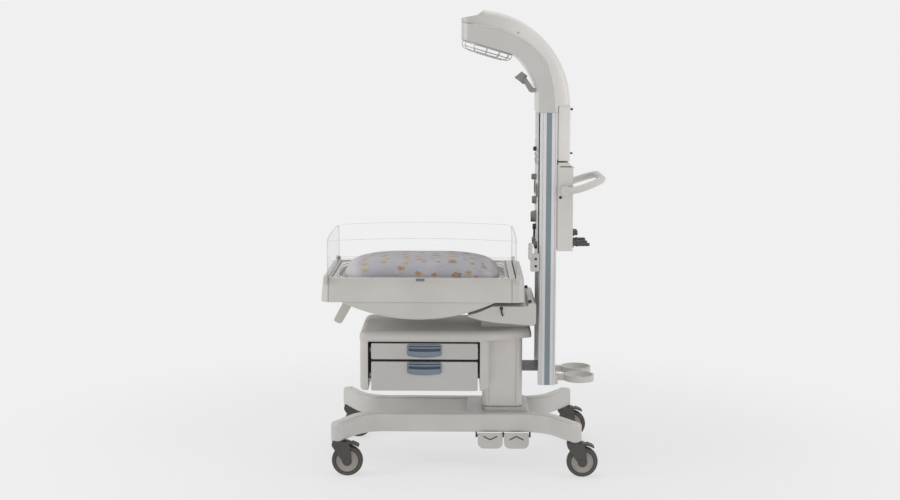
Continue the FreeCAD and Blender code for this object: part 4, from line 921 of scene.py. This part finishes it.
addPiece("sleeveTrim", "lift", sleeveParts, ["greyBracket"])


# hood piping: a light bead in the corner where the outer cover stands back from the lower shell

piping = {"y": 0.1738, "r": 0.0034,
          "line": [(0.0300, 1.8001), (0.0700, 1.7923), (0.1130, 1.7840), (0.1550, 1.7722), (0.1930, 1.7580),
                   (0.2260, 1.7410), (0.2560, 1.7220), (0.2770, 1.7052), (0.2940, 1.6880), (0.3135, 1.6665),
                   (0.3300, 1.6440), (0.3440, 1.5920), (0.3540, 1.5390), (0.3590, 1.4950), (0.3608, 1.4510)]}
pipeParts = [sweep([(x, side * piping["y"], z) for x, z in piping["line"]], piping["r"]) for side in (-1, 1)]
addPiece("hoodPiping", "lift", pipeParts, ["rearPlastic"])


# examination lamp: a shallow lens in the mouth of the cone, and its rim

lamp = {"at": (0.2224, 0.0, 1.5752), "axis": (-0.6, 0, -0.8),
        "lens": [(0, 0.0016), (0.008, 0.0013), (0.015, 0.0006), (0.0195, -0.0004), (0.0195, -0.002), (0, -0.002)],
        "rim": [(0.0195, 0.0), (0.0205, 0.0012), (0.0222, 0.0012), (0.0232, 0.0002), (0.0232, -0.002),
                (0.0195, -0.002), (0.0195, 0.0)]}
tree, shader = newMaterial("lensGlass")[:2]
fill(tree, shader, {"Base Color": srgb(232, 232, 226), "Roughness": 0.12, "Coat Weight": 0.6})
lampParts = [lathe(lamp["lens"], lamp["at"], lamp["axis"]), lathe(lamp["rim"], lamp["at"], lamp["axis"]) + (1,)]
addPiece("lampLens", "exam_light", lampParts, ["lensGlass", "darkSteel"])
print("trim placed")


# studio: floor, backdrop, lamps, camera

studio = {"backdrop": (240, 240, 240), "floor": (236, 235, 236), "fadeFrom": 0.9, "fadeTo": 2.4, "lift": 0.68,
          "floorHalf": 40, "ambient": 0.5,
          "lamps": {"topSoftbox": ((4.0, 3.0), 55, (-0.4, 0.3, 4.2), (0, 0, 0.8)),
                    "leftSoftbox": ((1.0, 2.4), 34, (-3.4, -1.0, 2.0), (0, 0, 1.0)),
                    "rightSoftbox": ((2.0, 2.6), 30, (3.4, -1.2, 2.0), (0.2, 0, 1.0)),
                    "frontFill": ((4.0, 2.0), 20, (0.3, -5.0, 0.9), (0, 0, 0.7))}}  # size, power, place, aim


def floorMaterial():  # pale and softly shaded near the object, fading to the flat backdrop colour further out
    tree, shader = newMaterial("paleFloor")[:2]
    fill(tree, shader, {"Base Color": srgb(*studio["floor"]), "Roughness": 0.9, "Specular IOR Level": 0.1})
    glow = addNode(tree, "Emission", {"Color": srgb(*studio["backdrop"])})
    reach = addNode(tree, "VectorMath", {0: objectPlace(tree)}, operation="LENGTH").outputs["Value"]
    fade = addNode(tree, "MapRange", interpolation_type="SMOOTHSTEP")
    fill(tree, fade, {"From Min": studio["fadeFrom"], "From Max": studio["fadeTo"], "To Min": studio["lift"],
                      "Value": reach})
    mix = addNode(tree, "MixShader", {0: fade.outputs["Result"], 1: shader.outputs[0], 2: glow.outputs[0]})
    fill(tree, tree.nodes["Material Output"], {"Surface": mix.outputs[0]})


floorMaterial()
half = studio["floorHalf"]
floorMesh = bpy.data.meshes.new("floor")
floorMesh.from_pydata([(-half, -half, 0), (half, -half, 0), (half, half, 0), (-half, half, 0)], [], [(0, 1, 2, 3)])
floorMesh.materials.append(bpy.data.materials["paleFloor"])
floor = bpy.data.objects.new("floor", floorMesh)
scene.collection.objects.link(floor)

world = bpy.data.worlds.new("studio")
scene.world = world
world.use_nodes = True
sky = world.node_tree
calc = partial(mathNode, sky)
seen = addNode(sky, "LightPath").outputs
direct = calc("ADD", seen["Is Camera Ray"], seen["Is Glossy Ray"], True)
direct = calc("ADD", direct, seen["Is Transmission Ray"], True)
strength = calc("ADD", calc("MULTIPLY", direct, 1.0 - studio["ambient"]), studio["ambient"])
fill(sky, sky.nodes["Background"], {"Color": srgb(*studio["backdrop"]), "Strength": strength})

for name, (size, power, place, aim) in studio["lamps"].items():
    data = bpy.data.lights.new(name, "AREA")
    data.shape = "RECTANGLE"
    data.size, data.size_y = size
    data.energy = power
    softbox = bpy.data.objects.new(name, data)
    softbox.location = place
    softbox.rotation_mode = "QUATERNION"
    softbox.rotation_quaternion = (Vector(aim) - Vector(place)).to_track_quat("-Z", "Y")
    scene.collection.objects.link(softbox)

lens = {"place": (-0.00717, -5.9257, 1.66149), "pitch": 0.10105, "yaw": 0.00927, "roll": -0.00317, "mm": 57.467,
        "shift": -0.05}
cameraData = bpy.data.cameras.new("camera")
cameraData.lens = lens["mm"]
cameraData.sensor_width = 36.0
cameraData.shift_y = lens["shift"]
cameraData.clip_end = 200.0
camera = bpy.data.objects.new("camera", cameraData)
camera.location = lens["place"]
camera.rotation_euler = (math.pi / 2 - lens["pitch"], lens["roll"], lens["yaw"])
scene.collection.objects.link(camera)
scene.camera = camera
print("studio ready")
